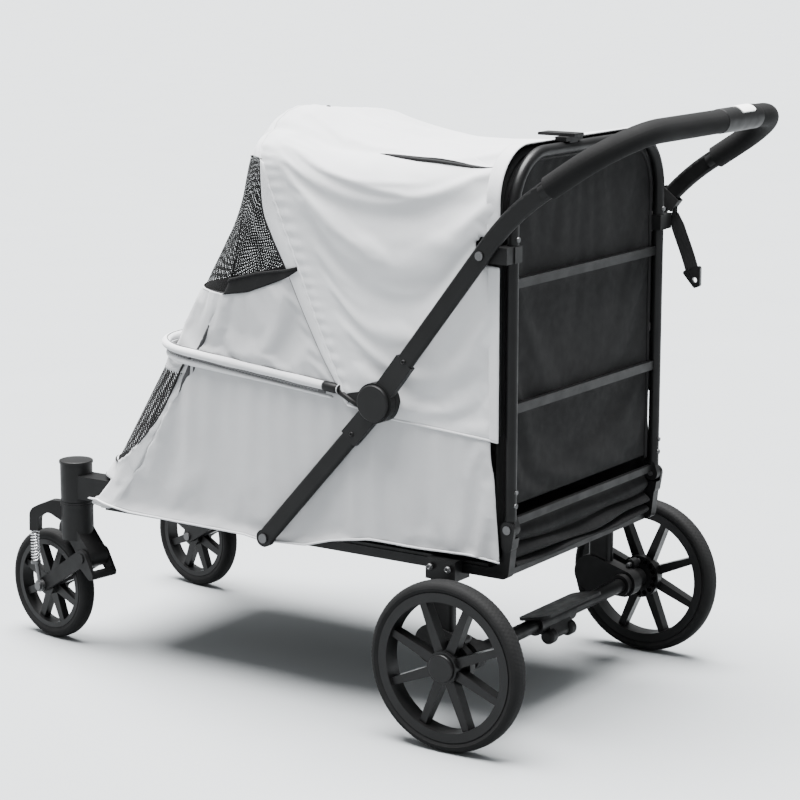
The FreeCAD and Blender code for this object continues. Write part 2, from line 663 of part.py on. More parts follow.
def rear_frame():
    arch_points = [
        Vector(ARCH_X, ARCH_Y, ARCH_FOOT),
        Vector(ARCH_X, ARCH_Y, ARCH_TOP),
        Vector(-ARCH_X, ARCH_Y, ARCH_TOP),
        Vector(-ARCH_X, ARCH_Y, ARCH_FOOT),
    ]
    rounding = [0, ARCH_CORNER_R, ARCH_CORNER_R, 0]
    arch = pipe(arch_points, rounding, ARCH_TUBE_R, ARCH_TUBE_R - WALL)
    bars = []
    reach = ARCH_X - ARCH_TUBE_R + 0.6
    for z in CROSSBAR_Z[1:]:
        bars.append(box(-reach, reach, ARCH_Y - 6, ARCH_Y + 2, z, z + CROSSBAR_H))
    add("rear_arch", fuse([arch] + bars))

    lug = hull_x(PIVOT_FRAME, 12.5, (ARCH_Y, ARCH_FOOT - 9.5), 9, LUG_X0, LUG_X1)
    plug = rod_z(ARCH_TUBE_R, ARCH_X, ARCH_Y, ARCH_FOOT - 9, ARCH_FOOT)
    low_z = CROSSBAR_Z[0]
    low_bar = box(-LUG_X0 - 1, LUG_X0 + 1, ARCH_Y - 6, ARCH_Y + 2, low_z, low_z + CROSSBAR_H)
    knuckles = fuse(pair(fuse([lug, plug])) + [low_bar])
    add("arch_knuckles", knuckles.cut(rod_x(PIN_R + RUNNING, -300, 300, *PIVOT_FRAME)))

    panel_side = ARCH_X - ARCH_TUBE_R - 2
    panel_top = ARCH_TOP - ARCH_TUBE_R - 2
    corners = [
        Vector(panel_side, ARCH_Y - 16, 384),
        Vector(panel_side, ARCH_Y - 16, panel_top),
        Vector(-panel_side, ARCH_Y - 16, panel_top),
        Vector(-panel_side, ARCH_Y - 16, 384),
    ]
    outline = path(corners, [0, ARCH_CORNER_R - 10, ARCH_CORNER_R - 10, 0], closed=True)
    add("back_panel", Part.Face(outline).extrude(Vector(0, 9, 0)))

    hoop_y = 34.0
    hoop_x = 241.0
    hoop_points = [
        Vector(hoop_x, hoop_y, 820),
        Vector(hoop_x, hoop_y, ARCH_TOP),
        Vector(-hoop_x, hoop_y, ARCH_TOP),
        Vector(-hoop_x, hoop_y, 820),
    ]
    add("canopy_rear_hoop", pipe(hoop_points, [0, ARCH_CORNER_R, ARCH_CORNER_R, 0], 5.5))

    z = PIVOT_HANDLE[1]
    arm = box(248, HANDLE_X0 - 0.5, 12, 68, z - 13, z + 13)
    clamp = box(ARCH_X - 11, 248, 44, 70, z - 13, z + 13)
    block = fuse([arm, clamp]).cut(rod_z(ARCH_TUBE_R, ARCH_X, ARCH_Y, z - 40, z + 40))
    block = block.cut(rod_x(PIN_R, 240, 290, *PIVOT_HANDLE))
    block = block.cut(rod_x(3, ARCH_X - 30, ARCH_X + 30, 100, z))
    add("pivot_brackets", *pair(block))

    pin = rod_x(PIN_R, 250, HANDLE_X1 + 1, *PIVOT_HANDLE)
    head = rod_x(7, HANDLE_X1 + 0.4, HANDLE_X1 + 3, *PIVOT_HANDLE)
    fasteners = pair(fuse([pin, head]))
    back = ARCH_Y + ARCH_TUBE_R
    for height in (412.0, 812.0):
        screw = Part.makeCylinder(3.5, 3, Vector(ARCH_X, back - 0.6, height), Vector(0, 1, 0))
        screw = screw.cut(Part.makeCylinder(ARCH_TUBE_R, 40, Vector(ARCH_X, ARCH_Y, height - 20)))
        fasteners += pair(screw)
    add("frame_fasteners", *fasteners)

    top = ARCH_TOP + ARCH_TUBE_R
    base = box(40, 92, 47, 68, top + 1, top + 8)
    lever = softened(box(50, 80, 8, 76, top + 8, top + 13), 2, along_x)
    foot = box(52, 78, 48, 66, ARCH_TOP, top + 1)
    foot = foot.cut(Part.makeCylinder(ARCH_TUBE_R, 100, Vector(20, ARCH_Y, ARCH_TOP), Vector(1, 0, 0)))
    add("top_clip", fuse([base, lever, foot]))


# ---------------------------------------------------------------- lower arms and handle


def flat_tube(points, x0, x1, radius=400.0):
    """Flat-oval tube: a bent bar of constant height with its long edges rounded."""
    outline, radii = band(points, TUBE_H / 2, radius)
    solid = prism_x(outline, x0, x1, radii)
    ends = (points[0], points[-1])

    def long_edge(edge):
        middle = edge.CenterOfMass
        near_end = min(math.hypot(middle.y - p[0], middle.z - p[1]) for p in ends) < 16
        return not along_x(edge) and not near_end

    return softened(solid, (x1 - x0) / 2 - 0.6, long_edge)


def joint_half(direction_to, x0, x1, sleeve_x0, sleeve_x1):
    """Half of the folding joint: a round disc with a sleeve that grips one tube's end."""
    disc = rod_x(DISC_R, x0, x1, *PIVOT_DISC)
    d = unit(PIVOT_DISC, direction_to)
    start = offset_point(PIVOT_DISC, d, 10, 0)
    end = offset_point(PIVOT_DISC, d, SLEEVE_LEN, 0)
    outline, radii = band([start, end], TUBE_H / 2 + 2, 0)
    sleeve = prism_x(outline, sleeve_x0, sleeve_x1)
    return fuse([disc, sleeve])


def lower_arms():
    d = unit(PIVOT_DISC, PIVOT_ARM)
    top = offset_point(PIVOT_DISC, d, SLEEVE_LEN + 0.1, 0)
    arm = flat_tube([PIVOT_ARM, top], ARM_X0, ARM_X1)
    tip = rod_x(TUBE_H / 2, ARM_X0, ARM_X1, *PIVOT_ARM)
    arm = fuse([arm, tip]).cut(rod_x(PIN_R + RUNNING, 240, 280, *PIVOT_ARM))
    add("lower_arms", *pair(arm))

    half = joint_half(PIVOT_ARM, ARM_X0, ARM_X1, ARM_X0, ARM_X1)
    add("joint_bases", *pair(half))

    plate = hull_x(PIVOT_BOW, 11, PIVOT_DISC, 19, FABRIC_X0, ARM_X0)
    pin = rod_x(PIN_R, 246.4, FABRIC_X0, *PIVOT_BOW)
    add("bow_brackets", *pair(fuse([plate, pin])))


def handle_side():
    d = unit(PIVOT_DISC, PIVOT_HANDLE)
    start = offset_point(PIVOT_DISC, d, SLEEVE_LEN + 0.1, 0)
    d_up = unit(HANDLE_KNEE, HANDLE_BAR)
    end = offset_point(HANDLE_KNEE, d_up, 78, 0)
    tube = flat_tube([start, HANDLE_KNEE, end], HANDLE_X0, HANDLE_X1)
    return tube.cut(rod_x(PIN_R + RUNNING, 250, 300, *PIVOT_HANDLE)), end


def bar_points(start):
    return [
        Vector(HANDLE_X, *start),
        Vector(HANDLE_X, *HANDLE_BAR),
        Vector(-HANDLE_X, *HANDLE_BAR),
        Vector(-HANDLE_X, *start),
    ]


def handle():
    side, end = handle_side()
    rounding = [0, HANDLE_CORNER_R, HANDLE_CORNER_R, 0]
    d_up = unit(HANDLE_KNEE, HANDLE_BAR)
    inside = offset_point(end, d_up, -14, 0)
    bar = pipe(bar_points(inside), rounding, HANDLE_BAR_R)
    tube = fuse(pair(side) + [bar])
    add("handle_tube", tube)

    grip_start = offset_point(end, d_up, 2, 0)
    sleeve = pipe(bar_points(grip_start), rounding, GRIP_R, HANDLE_BAR_R + 0.1)
    gap = box(RELEASE_X0 - 0.5, RELEASE_X1 + 0.5, 200, 350, 900, 1050)
    add("handle_grips", sleeve.cut(gap))

    y, z = HANDLE_BAR
    housing = rod_x(GRIP_R + 0.8, RELEASE_X0, RELEASE_X1, y, z)
    housing = softened(housing, 1.5, lambda e: e.Length > 50)
    housing = housing.cut(rod_x(HANDLE_BAR_R + 0.1, RELEASE_X0 - 1, RELEASE_X1 + 1, y, z))
    pocket = box(-124, -74, y - 11, y + 11, z + HANDLE_BAR_R + 0.5, z + 40)
    button = box(-123.6, -74.4, y - 10.6, y + 10.6, z + HANDLE_BAR_R + 4, z + 30)
    button = softened(button, 5, lambda e: abs(e.Vertexes[0].Z - e.Vertexes[-1].Z) > 5)
    button = button.common(rod_x(GRIP_R + 2.2, -200, 0, y, z))
    for shape in (pocket, button):
        shape.rotate(Vector(0, y, z), Vector(1, 0, 0), -25)
    add("release_housing", housing.cut(pocket))
    add("release_button", button)

    cover = joint_half(PIVOT_HANDLE, HANDLE_X0, HANDLE_X1 + 1, HANDLE_X0, HANDLE_X1)
    add("joint_covers", *pair(cover))
    cap = rod_x(DISC_R - 3, HANDLE_X1 + 1, HANDLE_X1 + 7, *PIVOT_DISC)
    cap = softened(cap, 3, lambda e: e.CenterOfMass.x > HANDLE_X1 + 6)
    add("joint_caps", *pair(cap))


TETHER = (70.0, 799.8)
TETHER_LEN = 112.0
TETHER_LEAN = -21.0
TETHER_PIN_R = 1.5
WEBBING_W = 25.0


def tether():
    """Webbing that hangs from a loop round the right-hand handle tube, with a keyhole hook."""
    x = -HANDLE_X
    y, z = TETHER
    half = WEBBING_W / 2
    low = z - TETHER_LEN
    shoulder = z - 24
    sides = [(y - 3, z), (y - half, shoulder), (y - half, low), (y + half, low), (y + half, shoulder)]
    strap = prism_x(sides + [(y + 3, z)], x - 1.5, x + 1.5)
    strap = strap.fuse(rod_x(4, x - 1.5, x + 1.5, y, z)).removeSplitter()
    outline = [(y - 19, low + 14), (y + 19, low + 14), (y + 6, low - 20), (y - 6, low - 20)]
    hook = prism_x(outline, x - 3.2, x + 3.2, [4, 4, 4, 4])
    hook = hook.cut(strap).cut(rod_x(4.5, x - 10, x + 10, y, low - 7))
    strap = strap.cut(rod_x(TETHER_PIN_R + RUNNING, x - 10, x + 10, y, z))
    for shape in (strap, hook):
        shape.rotate(Vector(x, y, z), Vector(1, 0, 0), -TETHER_LEAN)
    add("tether_strap", strap)
    add("tether_hook", hook)

    d = unit(PIVOT_DISC, HANDLE_KNEE)
    along = unit(PIVOT_DISC, (y, z))[2] + 12
    first = offset_point(PIVOT_DISC, d, along - half, -2.4)
    last = offset_point(PIVOT_DISC, d, along + half, -2.4)
    outer, _ = band([first, last], TUBE_H / 2 + 4.6, 0)
    inner, _ = band([first, last], TUBE_H / 2 + 3.2, 0)
    loop = prism_x(outer, x - 8.4, x + 8.4).cut(prism_x(inner, x - 7, x + 7))
    low_edge = offset_point(first, d, half, -TUBE_H / 2 - 3.9)
    ears = [hull_x(TETHER, 4, low_edge, 0.6, x + a, x + b) for a, b in ((1.8, 3.5), (-3.5, -1.8))]
    pin = rod_x(TETHER_PIN_R, x - 3.5, x + 3.5, y, z)
    add("tether_loop", fuse([loop, pin] + ears))


rear_wheels()
casters()
base_frame()
front_supports()
rear_supports()
brake_pedal()
cabin()
floor_pieces()
canopy_bow()
rear_frame()
lower_arms()
handle()
tether()

os.makedirs("parts", exist_ok=True)
for name, shape in parts.items():
    shape.translate(Vector(0, FRAME_SHIFT_Y, 0))
    shape.exportStep("parts/" + name + ".step")
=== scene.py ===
import bpy
import bmesh
import json
import math
import numpy as np
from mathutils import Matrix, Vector
from mathutils.bvhtree import BVHTree


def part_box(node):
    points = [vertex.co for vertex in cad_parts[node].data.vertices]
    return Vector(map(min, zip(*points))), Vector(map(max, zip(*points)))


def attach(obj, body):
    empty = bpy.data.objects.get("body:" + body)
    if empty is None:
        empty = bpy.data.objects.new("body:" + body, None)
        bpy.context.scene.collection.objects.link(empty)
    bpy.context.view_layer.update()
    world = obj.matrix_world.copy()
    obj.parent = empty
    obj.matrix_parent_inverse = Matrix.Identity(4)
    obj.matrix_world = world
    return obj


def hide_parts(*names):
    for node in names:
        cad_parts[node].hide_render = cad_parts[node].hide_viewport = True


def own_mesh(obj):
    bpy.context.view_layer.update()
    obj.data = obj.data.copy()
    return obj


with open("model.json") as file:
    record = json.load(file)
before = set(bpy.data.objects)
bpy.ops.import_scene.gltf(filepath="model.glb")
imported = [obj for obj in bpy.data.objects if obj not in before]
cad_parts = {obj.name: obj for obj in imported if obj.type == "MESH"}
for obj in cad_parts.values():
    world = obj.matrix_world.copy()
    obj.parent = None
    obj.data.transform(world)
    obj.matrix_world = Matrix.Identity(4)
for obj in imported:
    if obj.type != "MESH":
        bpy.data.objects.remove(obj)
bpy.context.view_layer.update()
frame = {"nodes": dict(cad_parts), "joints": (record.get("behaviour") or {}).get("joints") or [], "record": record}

# Points below are in millimetres from the rear axle, +Y to the rear, as in the CAD model.
MM = 0.001
AXLE_Y = (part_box("rear_axle")[0][1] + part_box("rear_axle")[1][1]) / 2


def metres(points):
    """Millimetres from the rear axle to metres in the row frame."""
    out = np.array(points, float) * MM
    out[..., 1] += AXLE_Y
    return out


# ---------------------------------------------------------------- materials


def new_material(name, base, roughness, metallic=0.0, sheen=0.0, shine=0.5):
    material = bpy.data.materials.new(name)
    material.use_nodes = True
    tree = material.node_tree
    shader = tree.nodes["Principled BSDF"]
    shader.inputs["Base Color"].default_value = (*base, 1)
    shader.inputs["Roughness"].default_value = roughness
    shader.inputs["Metallic"].default_value = metallic
    shader.inputs["Specular IOR Level"].default_value = shine
    shader.inputs["Sheen Weight"].default_value = sheen
    shader.inputs["Sheen Roughness"].default_value = 0.5
    return material, tree, shader


def coordinates(tree, kind, scale=(1, 1, 1), turn=0.0):
    source = tree.nodes.new("ShaderNodeTexCoord")
    mapping = tree.nodes.new("ShaderNodeMapping")
    mapping.inputs["Scale"].default_value = scale
    mapping.inputs["Rotation"].default_value = (0, 0, turn)
    tree.links.new(source.outputs[kind], mapping.inputs["Vector"])
    return mapping.outputs["Vector"]


def noise(tree, vector, scale, detail=3.0, roughness=0.5):
    node = tree.nodes.new("ShaderNodeTexNoise")
    node.inputs["Scale"].default_value = scale
    node.inputs["Detail"].default_value = detail
    node.inputs["Roughness"].default_value = roughness
    tree.links.new(vector, node.inputs["Vector"])
    return node.outputs["Fac"]


def stripes(tree, vector, direction, period):
    """Sine stripes with this period in the vector's units."""
    node = tree.nodes.new("ShaderNodeTexWave")
    node.wave_type = "BANDS"
    node.bands_direction = direction
    node.wave_profile = "SIN"
    node.inputs["Scale"].default_value = 2 * math.pi / (20 * period)
    tree.links.new(vector, node.inputs["Vector"])
    return node.outputs["Fac"]


def maths(tree, operation, a, b):
    node = tree.nodes.new("ShaderNodeMath")
    node.operation = operation
    for socket, value in zip(node.inputs, (a, b)):
        if isinstance(value, (int, float)):
            socket.default_value = value
        else:
            tree.links.new(value, socket)
    return node.outputs[0]


def ramp(tree, factor, stops):
    """Colour ramp over factor; each stop is (position, (r, g, b))."""
    node = tree.nodes.new("ShaderNodeValToRGB")
    elements = node.color_ramp.elements
    for element, (position, colour) in zip(elements, (stops[0], stops[-1])):
        element.position = position
        element.color = (*colour, 1)
    for position, colour in stops[1:-1]:
        element = elements.new(position)
        element.color = (*colour, 1)
    tree.links.new(factor, node.inputs["Fac"])
    return node.outputs["Color"]


def graded(tree, shader, socket, factor, stops):
    """Feeds one input of the shader from a colour ramp over factor."""
    tree.links.new(ramp(tree, factor, stops), shader.inputs[socket])


def grey(value):
    return (value, value, value)


def tint(colour, share):
    return tuple(min(1.0, c * share) for c in colour)


def blended(tree, mode, factor, a, b):
    node = tree.nodes.new("ShaderNodeMix")
    node.data_type = "RGBA"
    node.blend_type = mode
    if isinstance(factor, (int, float)):
        node.inputs[0].default_value = factor
    else:
        tree.links.new(factor, node.inputs[0])
    tree.links.new(a, node.inputs[6])
    tree.links.new(b, node.inputs[7])
    return node.outputs[2]


def bumped(tree, shader, layers):
    """Bump layers as (height output, strength, distance in metres), laid over each other."""
    below = None
    for height, strength, distance in layers:
        node = tree.nodes.new("ShaderNodeBump")
        node.inputs["Strength"].default_value = strength
        node.inputs["Distance"].default_value = distance
        tree.links.new(height, node.inputs["Height"])
        if below:
            tree.links.new(below, node.inputs["Normal"])
        below = node.outputs["Normal"]
    tree.links.new(below, shader.inputs["Normal"])


def woven(name, colour, period, kind="UV", roughness=0.86, sheen=0.25, thread=0.12, mottle=0.05, shine=0.2):
    """Plain weave: two sets of threads that pass over each other, over faint mottling and creases."""
    material, tree, shader = new_material(name, colour, roughness, sheen=sheen, shine=shine)
    vector = coordinates(tree, kind)
    space = coordinates(tree, "Object")
    warp = stripes(tree, vector, "X", period)
    weft = stripes(tree, vector, "Y", period)
    over = maths(tree, "MAXIMUM", warp, weft)
    cloudy = noise(tree, space, 9.0, 4.0, 0.6)
    soil = ramp(tree, cloudy, [(0.3, tint(colour, 1 - mottle)), (0.7, tint(colour, 1 + mottle))])
    threads = ramp(tree, over, [(0.0, grey(1 - thread)), (0.9, grey(1.0))])
    tree.links.new(blended(tree, "MULTIPLY", 1.0, soil, threads), shader.inputs["Base Color"])
    dull = noise(tree, space, 60.0)
    graded(tree, shader, "Roughness", dull, [(0.3, grey(roughness - 0.06)), (0.7, grey(roughness + 0.06))])
    crumple = noise(tree, space, 24.0, 4.0, 0.55)
    bumped(tree, shader, [(crumple, 0.35, 0.0022), (over, 0.35, 0.00025)])
    return material


def coated(name, colour, roughness=0.44, grain=900.0, depth=0.00008, wear=1.4, shine=0.22):
    """Powder coat or moulded plastic: fine grain, faint handling marks and duller patches."""
    material, tree, shader = new_material(name, colour, roughness, shine=shine)
    space = coordinates(tree, "Object")
    patches = noise(tree, space, 14.0, 5.0, 0.65)
    graded(tree, shader, "Base Color", patches, [(0.35, colour), (0.75, tint(colour, wear))])
    dull = noise(tree, space, 45.0, 4.0)
    graded(tree, shader, "Roughness", dull, [(0.3, grey(roughness - 0.07)), (0.7, grey(roughness + 0.08))])
    bumped(tree, shader, [(noise(tree, space, grain, 2.0), 0.4, depth)])
    return material


def metal(name, colour, roughness, brushed=True):
    material, tree, shader = new_material(name, colour, roughness, metallic=1.0)
    space = coordinates(tree, "Object", (900, 900, 60) if brushed else (80, 80, 80))
    streaks = noise(tree, space, 1.0, 3.0)
    graded(tree, shader, "Base Color", streaks, [(0.3, tint(colour, 0.82)), (0.7, colour)])
    graded(tree, shader, "Roughness", streaks, [(0.3, grey(roughness)), (0.7, grey(roughness + 0.12))])
    bumped(tree, shader, [(streaks, 0.15, 0.00005)])
    return material


def rubber(name, colour, roughness, grain, depth):
    material, tree, shader = new_material(name, colour, roughness, shine=0.1)
    space = coordinates(tree, "Object")
    dusty = noise(tree, space, 22.0, 5.0, 0.6)
    tones = [(0.4, colour), (0.62, tint(colour, 1.35)), (0.8, tint(colour, 1.9))]
    graded(tree, shader, "Base Color", dusty, tones)
    graded(tree, shader, "Roughness", dusty, [(0.3, grey(roughness - 0.05)), (0.8, grey(roughness + 0.1))])
    bumped(tree, shader, [(noise(tree, space, grain, 3.0), 0.6, depth)])
    return material


GREY_CLOTH = (0.400, 0.403, 0.412)
BLACK_CLOTH = (0.0055, 0.0055, 0.0057)
MATERIALS = {
    "frame_black": coated("powder_coat", (0.0030, 0.0030, 0.0031), 0.40, shine=0.12),
    "plastic_black": coated("moulded_plastic", (0.0034, 0.0034, 0.0035), 0.48, 1400.0, 0.00006, shine=0.14),
    "rim_black": coated("moulded_rim", (0.0030, 0.0030, 0.0031), 0.38, 1100.0, 0.00005, 1.5, 0.16),
    "tyre_black": rubber("tyre_rubber", (0.0048, 0.0048, 0.0049), 0.74, 700.0, 0.00015),
    "foam_black": rubber("grip_foam", (0.0032, 0.0032, 0.0033), 0.82, 1500.0, 0.00035),
    "fabric_grey": woven("grey_polyester", GREY_CLOTH, 0.0011, sheen=0.12),
    "fabric_black": woven("black_polyester", BLACK_CLOTH, 0.0011, roughness=0.8, sheen=0.01, shine=0.12),
    "mesh_black": woven("black_net", (0.0040, 0.0040, 0.0041), 0.0006, kind="Object", sheen=0.0, shine=0.12),
    "webbing_black": woven("ribbed_webbing", (0.0062, 0.0062, 0.0064), 0.0016, roughness=0.7, sheen=0.01),
    "steel": metal("zinc_steel", (0.10, 0.10, 0.102), 0.40),
    "spring_chrome": metal("bright_coil", (0.66, 0.66, 0.68), 0.16, brushed=False),
    "button_grey": coated("pale_button", (0.62, 0.62, 0.61), 0.4, 900.0, 0.00004, 1.08),
    "hook_black": coated("hook_plastic", (0.007, 0.007, 0.0072), 0.30, 900.0, 0.00003, 1.3, 0.4),
}
# painted shade: the lower body's cloth is the hood's grey made 20% darker, standing in for the shade it lies in
# under the overhead light
SHADED_LOWER_GREY = woven("grey_polyester_lower_painted_shade", tint(GREY_CLOTH, 0.80), 0.0011, sheen=0.08)
PIPING_GREY = woven("grey_piping", tint(GREY_CLOTH, 1.02), 0.0011, kind="Object", thread=0.08)
PIPING_BLACK = woven("black_piping", BLACK_CLOTH, 0.0011, kind="Object", roughness=0.75, sheen=0.01, shine=0.15)
# painted shade: dark grey cloth laid along seams where their shadow falls
PAINTED_SEAM_SHADE = woven("seam_shadow", (0.06, 0.06, 0.062), 0.0008, kind="Object", roughness=0.9)
# painted shade: dark grey for the inner faces of the cabin's cloth, standing in for the shade inside the cabin
INSIDE_SHADE_CLOTH = woven("inside_painted_shade", (0.035, 0.035, 0.037), 0.0011, kind="Object", sheen=0.0, shine=0.1)
ZIP_TEETH = coated("zip_teeth", (0.13, 0.13, 0.132), 0.35, 900.0, 0.00003)


# ---------------------------------------------------------------- mesh helpers


def new_piece(name, vertices, faces, material, body, uvs=None, smooth=True):
    """A mesh object from vertices in metres, riding on a body."""
    mesh = bpy.data.meshes.new(name)
    mesh.from_pydata([tuple(v) for v in vertices], [], [tuple(f) for f in faces])
    mesh.validate()
    mesh.polygons.foreach_set("use_smooth", [smooth] * len(mesh.polygons))
    mesh.materials.append(material)
    if uvs is not None:
        layer = mesh.uv_layers.new(name="UVMap")
        for loop in mesh.loops:
            layer.data[loop.index].uv = uvs[loop.vertex_index]
    piece = bpy.data.objects.new(name, mesh)
    bpy.context.collection.objects.link(piece)
    if body:
        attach(piece, body)
    return piece


def lengths(points):
    """Distance along a polyline up to each of its points."""
    steps = np.linalg.norm(np.diff(points, axis=0), axis=1)
    return np.concatenate([[0.0], np.cumsum(steps)])


def resampled(points, count, along=None):
    """count points evenly spaced along a polyline, or at the given shares of its length."""
    points = np.asarray(points, float)
    run = lengths(points)
    targets = run[-1] * (np.linspace(0, 1, count) if along is None else np.asarray(along))
    return np.stack([np.interp(targets, run, points[:, i]) for i in range(points.shape[1])], axis=1)


def smooth_line(points, count):
    """Catmull-Rom curve through points, evenly resampled."""
    p = np.asarray(points, float)
    ends = np.vstack([2 * p[0] - p[1], p, 2 * p[-1] - p[-2]])
    out = []
    for i in range(1, len(ends) - 2):
        a, b, c, d = ends[i - 1], ends[i], ends[i + 1], ends[i + 2]
        for t in np.linspace(0, 1, 16, endpoint=False):
            square = (2 * a - 5 * b + 4 * c - d) * t**2
            cube = (3 * b - a - 3 * c + d) * t**3
            out.append(0.5 * (2 * b + (c - a) * t + square + cube))
    out.append(p[-1])
    return resampled(np.array(out), count)


def rounded_line(points, radii, step=3.0):
    """Polyline with its corners rounded to the given radii."""
    points = [np.array(p, float) for p in points]
    out = [points[0]]
    for i in range(1, len(points) - 1):
        before, corner, after = points[i - 1], points[i], points[i + 1]
        if radii[i] <= 0:
            out.append(corner)
            continue
        a = (before - corner) / np.linalg.norm(before - corner)
        b = (after - corner) / np.linalg.norm(after - corner)
        half = math.acos(np.clip(a @ b, -1, 1)) / 2
        reach = radii[i] / math.tan(half)
        middle = (a + b) / np.linalg.norm(a + b)
        centre = corner + middle * radii[i] / math.sin(half)
        first = corner + a * reach - centre
        last = corner + b * reach - centre
        steps = max(2, int(radii[i] * (math.pi - 2 * half) / step))
        total = math.acos(np.clip(first @ last / radii[i] ** 2, -1, 1))
        for k in range(steps + 1):
            t = k / steps
            mix = (math.sin((1 - t) * total) * first + math.sin(t * total) * last) / math.sin(total)
            out.append(centre + mix)
    out.append(points[-1])
    return np.array(out)


def grid_faces(rows, columns, closed=False):
    faces = []
    wide = columns if closed else columns - 1
    for i in range(rows - 1):
        for j in range(wide):
            k = (j + 1) % columns
            faces.append((i * columns + j, i * columns + k, (i + 1) * columns + k, (i + 1) * columns + j))
    return faces


def grid_uvs(rows):
    """Flat cloth coordinates in metres for a grid of points."""
    n, m = rows.shape[:2]
    across = lengths(rows[n // 2]) * MM
    along = lengths(rows[:, m // 2]) * MM
    return [(across[j], along[i]) for i in range(n) for j in range(m)]


def tube(name, path, radius, material, body, sides=10, closed=False, flatten=1.0, cap=True, metric=MM):
    """A round or flattened cord along path; radius may vary point by point."""
    p = np.asarray(path, float)
    count = len(p)
    radii = np.full(count, radius, float) if np.isscalar(radius) else np.asarray(radius, float)
    if closed:
        tangents = np.roll(p, -1, axis=0) - np.roll(p, 1, axis=0)
    else:
        tangents = np.gradient(p, axis=0)
    tangents /= np.linalg.norm(tangents, axis=1)[:, None]
    up = np.array([0.0, 0.0, 1.0])
    if abs(tangents[0] @ up) > 0.9:
        up = np.array([1.0, 0.0, 0.0])
    normal = up - tangents[0] * (up @ tangents[0])
    rings = []
    for i in range(count):
        normal = normal - tangents[i] * (normal @ tangents[i])
        normal /= np.linalg.norm(normal)
        side = np.cross(tangents[i], normal)
        for k in range(sides):
            angle = 2 * math.pi * k / sides
            rings.append(p[i] + radii[i] * (math.cos(angle) * normal + flatten * math.sin(angle) * side))
    faces = grid_faces(count, sides, closed=True)
    if closed:
        last = (count - 1) * sides
        faces += [(last + k, last + (k + 1) % sides, (k + 1) % sides, k) for k in range(sides)]
    elif cap:
        faces.append(tuple(range(sides))[::-1])
        faces.append(tuple((count - 1) * sides + k for k in range(sides)))
    vertices = metres(rings) if metric == MM else np.array(rings)
    return new_piece(name, vertices, faces, material, body)


def joined(name, pieces):
    """One object from several that share a body."""
    bpy.ops.object.select_all(action="DESELECT")
    for piece in pieces:
        piece.select_set(True)
    bpy.context.view_layer.objects.active = pieces[0]
    bpy.ops.object.join()
    pieces[0].name = name
    return pieces[0]


def thickened(piece, thickness, levels=1, inner_shade=None):
    """Gives a sheet its thickness, and painted shade on its inner face when a material for that is given."""
    if levels:
        subdivision = piece.modifiers.new("subdivide", "SUBSURF")
        subdivision.levels = levels
        subdivision.render_levels = levels
    solid = piece.modifiers.new("thickness", "SOLIDIFY")
    solid.thickness = thickness
    solid.offset = 0.0
    # painted shade: the sheet's inner face takes the dark grey material
    if inner_shade:
        piece.data.materials.append(inner_shade)
        solid.material_offset = 1
    return piece


def settle(piece, pinned, frames, swell, gravity, cap, stiffness=12.0, bending=0.4):
    """Cloth simulation: the sheet, cut a little too large, settles between its pinned points."""
    mesh = piece.data
    rest = np.array([v.co for v in mesh.vertices])
    group = piece.vertex_groups.new(name="held")
    for index in np.nonzero(pinned)[0]:
        group.add([int(index)], 1.0, "REPLACE")
    cloth = piece.modifiers.new("cloth", "CLOTH")
    settings = cloth.settings
    settings.quality = 5
    settings.mass = 0.2
    settings.tension_stiffness = stiffness
    settings.compression_stiffness = stiffness
    settings.shear_stiffness = stiffness / 2
    settings.bending_stiffness = bending
    settings.tension_damping = 8
    settings.compression_damping = 8
    settings.shear_damping = 6
    settings.air_damping = 3
    settings.shrink_min = -swell
    settings.vertex_group_mass = "held"
    settings.effector_weights.gravity = gravity
    cloth.collision_settings.use_collision = False
    cloth.collision_settings.use_self_collision = False
    cloth.point_cache.frame_start = 1
    cloth.point_cache.frame_end = frames
    scene = bpy.context.scene
    for step in range(1, frames + 1):
        scene.frame_set(step)
    evaluated = piece.evaluated_get(bpy.context.evaluated_depsgraph_get())
    moved = np.array([v.co for v in evaluated.data.vertices])
    piece.modifiers.remove(cloth)
    piece.vertex_groups.remove(group)
    scene.frame_set(1)
    shift = moved - rest
    size = np.linalg.norm(shift, axis=1)
    share = np.where(size > 1e-9, cap * np.tanh(size / cap) / np.maximum(size, 1e-9), 0.0)
    mesh.vertices.foreach_set("co", (rest + shift * share[:, None]).astype(np.float32).ravel())
    mesh.update()


def collapse(piece):
    """Gives a soft part of the cabin its own copy of its mesh."""
    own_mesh(piece)


# ---------------------------------------------------------------- cabin form

# cloth thicknesses and the reach of the bow's pin on the settling hood, in metres
CLOTH_THICK = 0.0014
HEM_THICK = 0.0012
BLACK_THICK = 0.0016
BOW_HOLD = 0.042
SETTLE_FRAMES = 22
HOOD_REAR = 46
HOOD_TOP = 953
HOOD_FOOT_Z = 493
HALF_WIDTH = 254.0
CORNER_R = 85.0
FLAT_HALF = HALF_WIDTH - CORNER_R
SKIN_OUT = 0.6
OUTLINE = rounded_line(
    [(HOOD_REAR, HOOD_TOP), (-330, 979), (-462, 1004), (-500, 820), (-779, 362), (-900, 237)],
    [0, 500, 100, 300, 300, 0],
)
OUTLINE_RUN = lengths(OUTLINE)
BOW_SEAM = smooth_line(
    [(-432, 985), (-424, 945), (-409, 901), (-369, 808), (-337, 735), (-296, 639), (-240, 521)], 90
)


def depth_in(points):
    """Distance of (y, z) points from the cabin's side outline."""
    a = OUTLINE[:-1]
    d = OUTLINE[1:] - a
    best = np.full(len(points), 1e9)
    for start in range(0, len(points), 4000):
        q = points[start : start + 4000, None, :] - a[None]
        t = np.clip((q * d).sum(-1) / (d * d).sum(-1), 0, 1)
        gap = np.linalg.norm(q - t[..., None] * d, axis=-1)
        best[start : start + 4000] = gap.min(axis=1)
    return best


def side_x(points):
    """How far out the skin stands at (y, z) points."""
    d = np.clip(depth_in(points), 0, CORNER_R)
    return FLAT_HALF + np.sqrt(np.maximum(CORNER_R**2 - (CORNER_R - d) ** 2, 0)) + SKIN_OUT


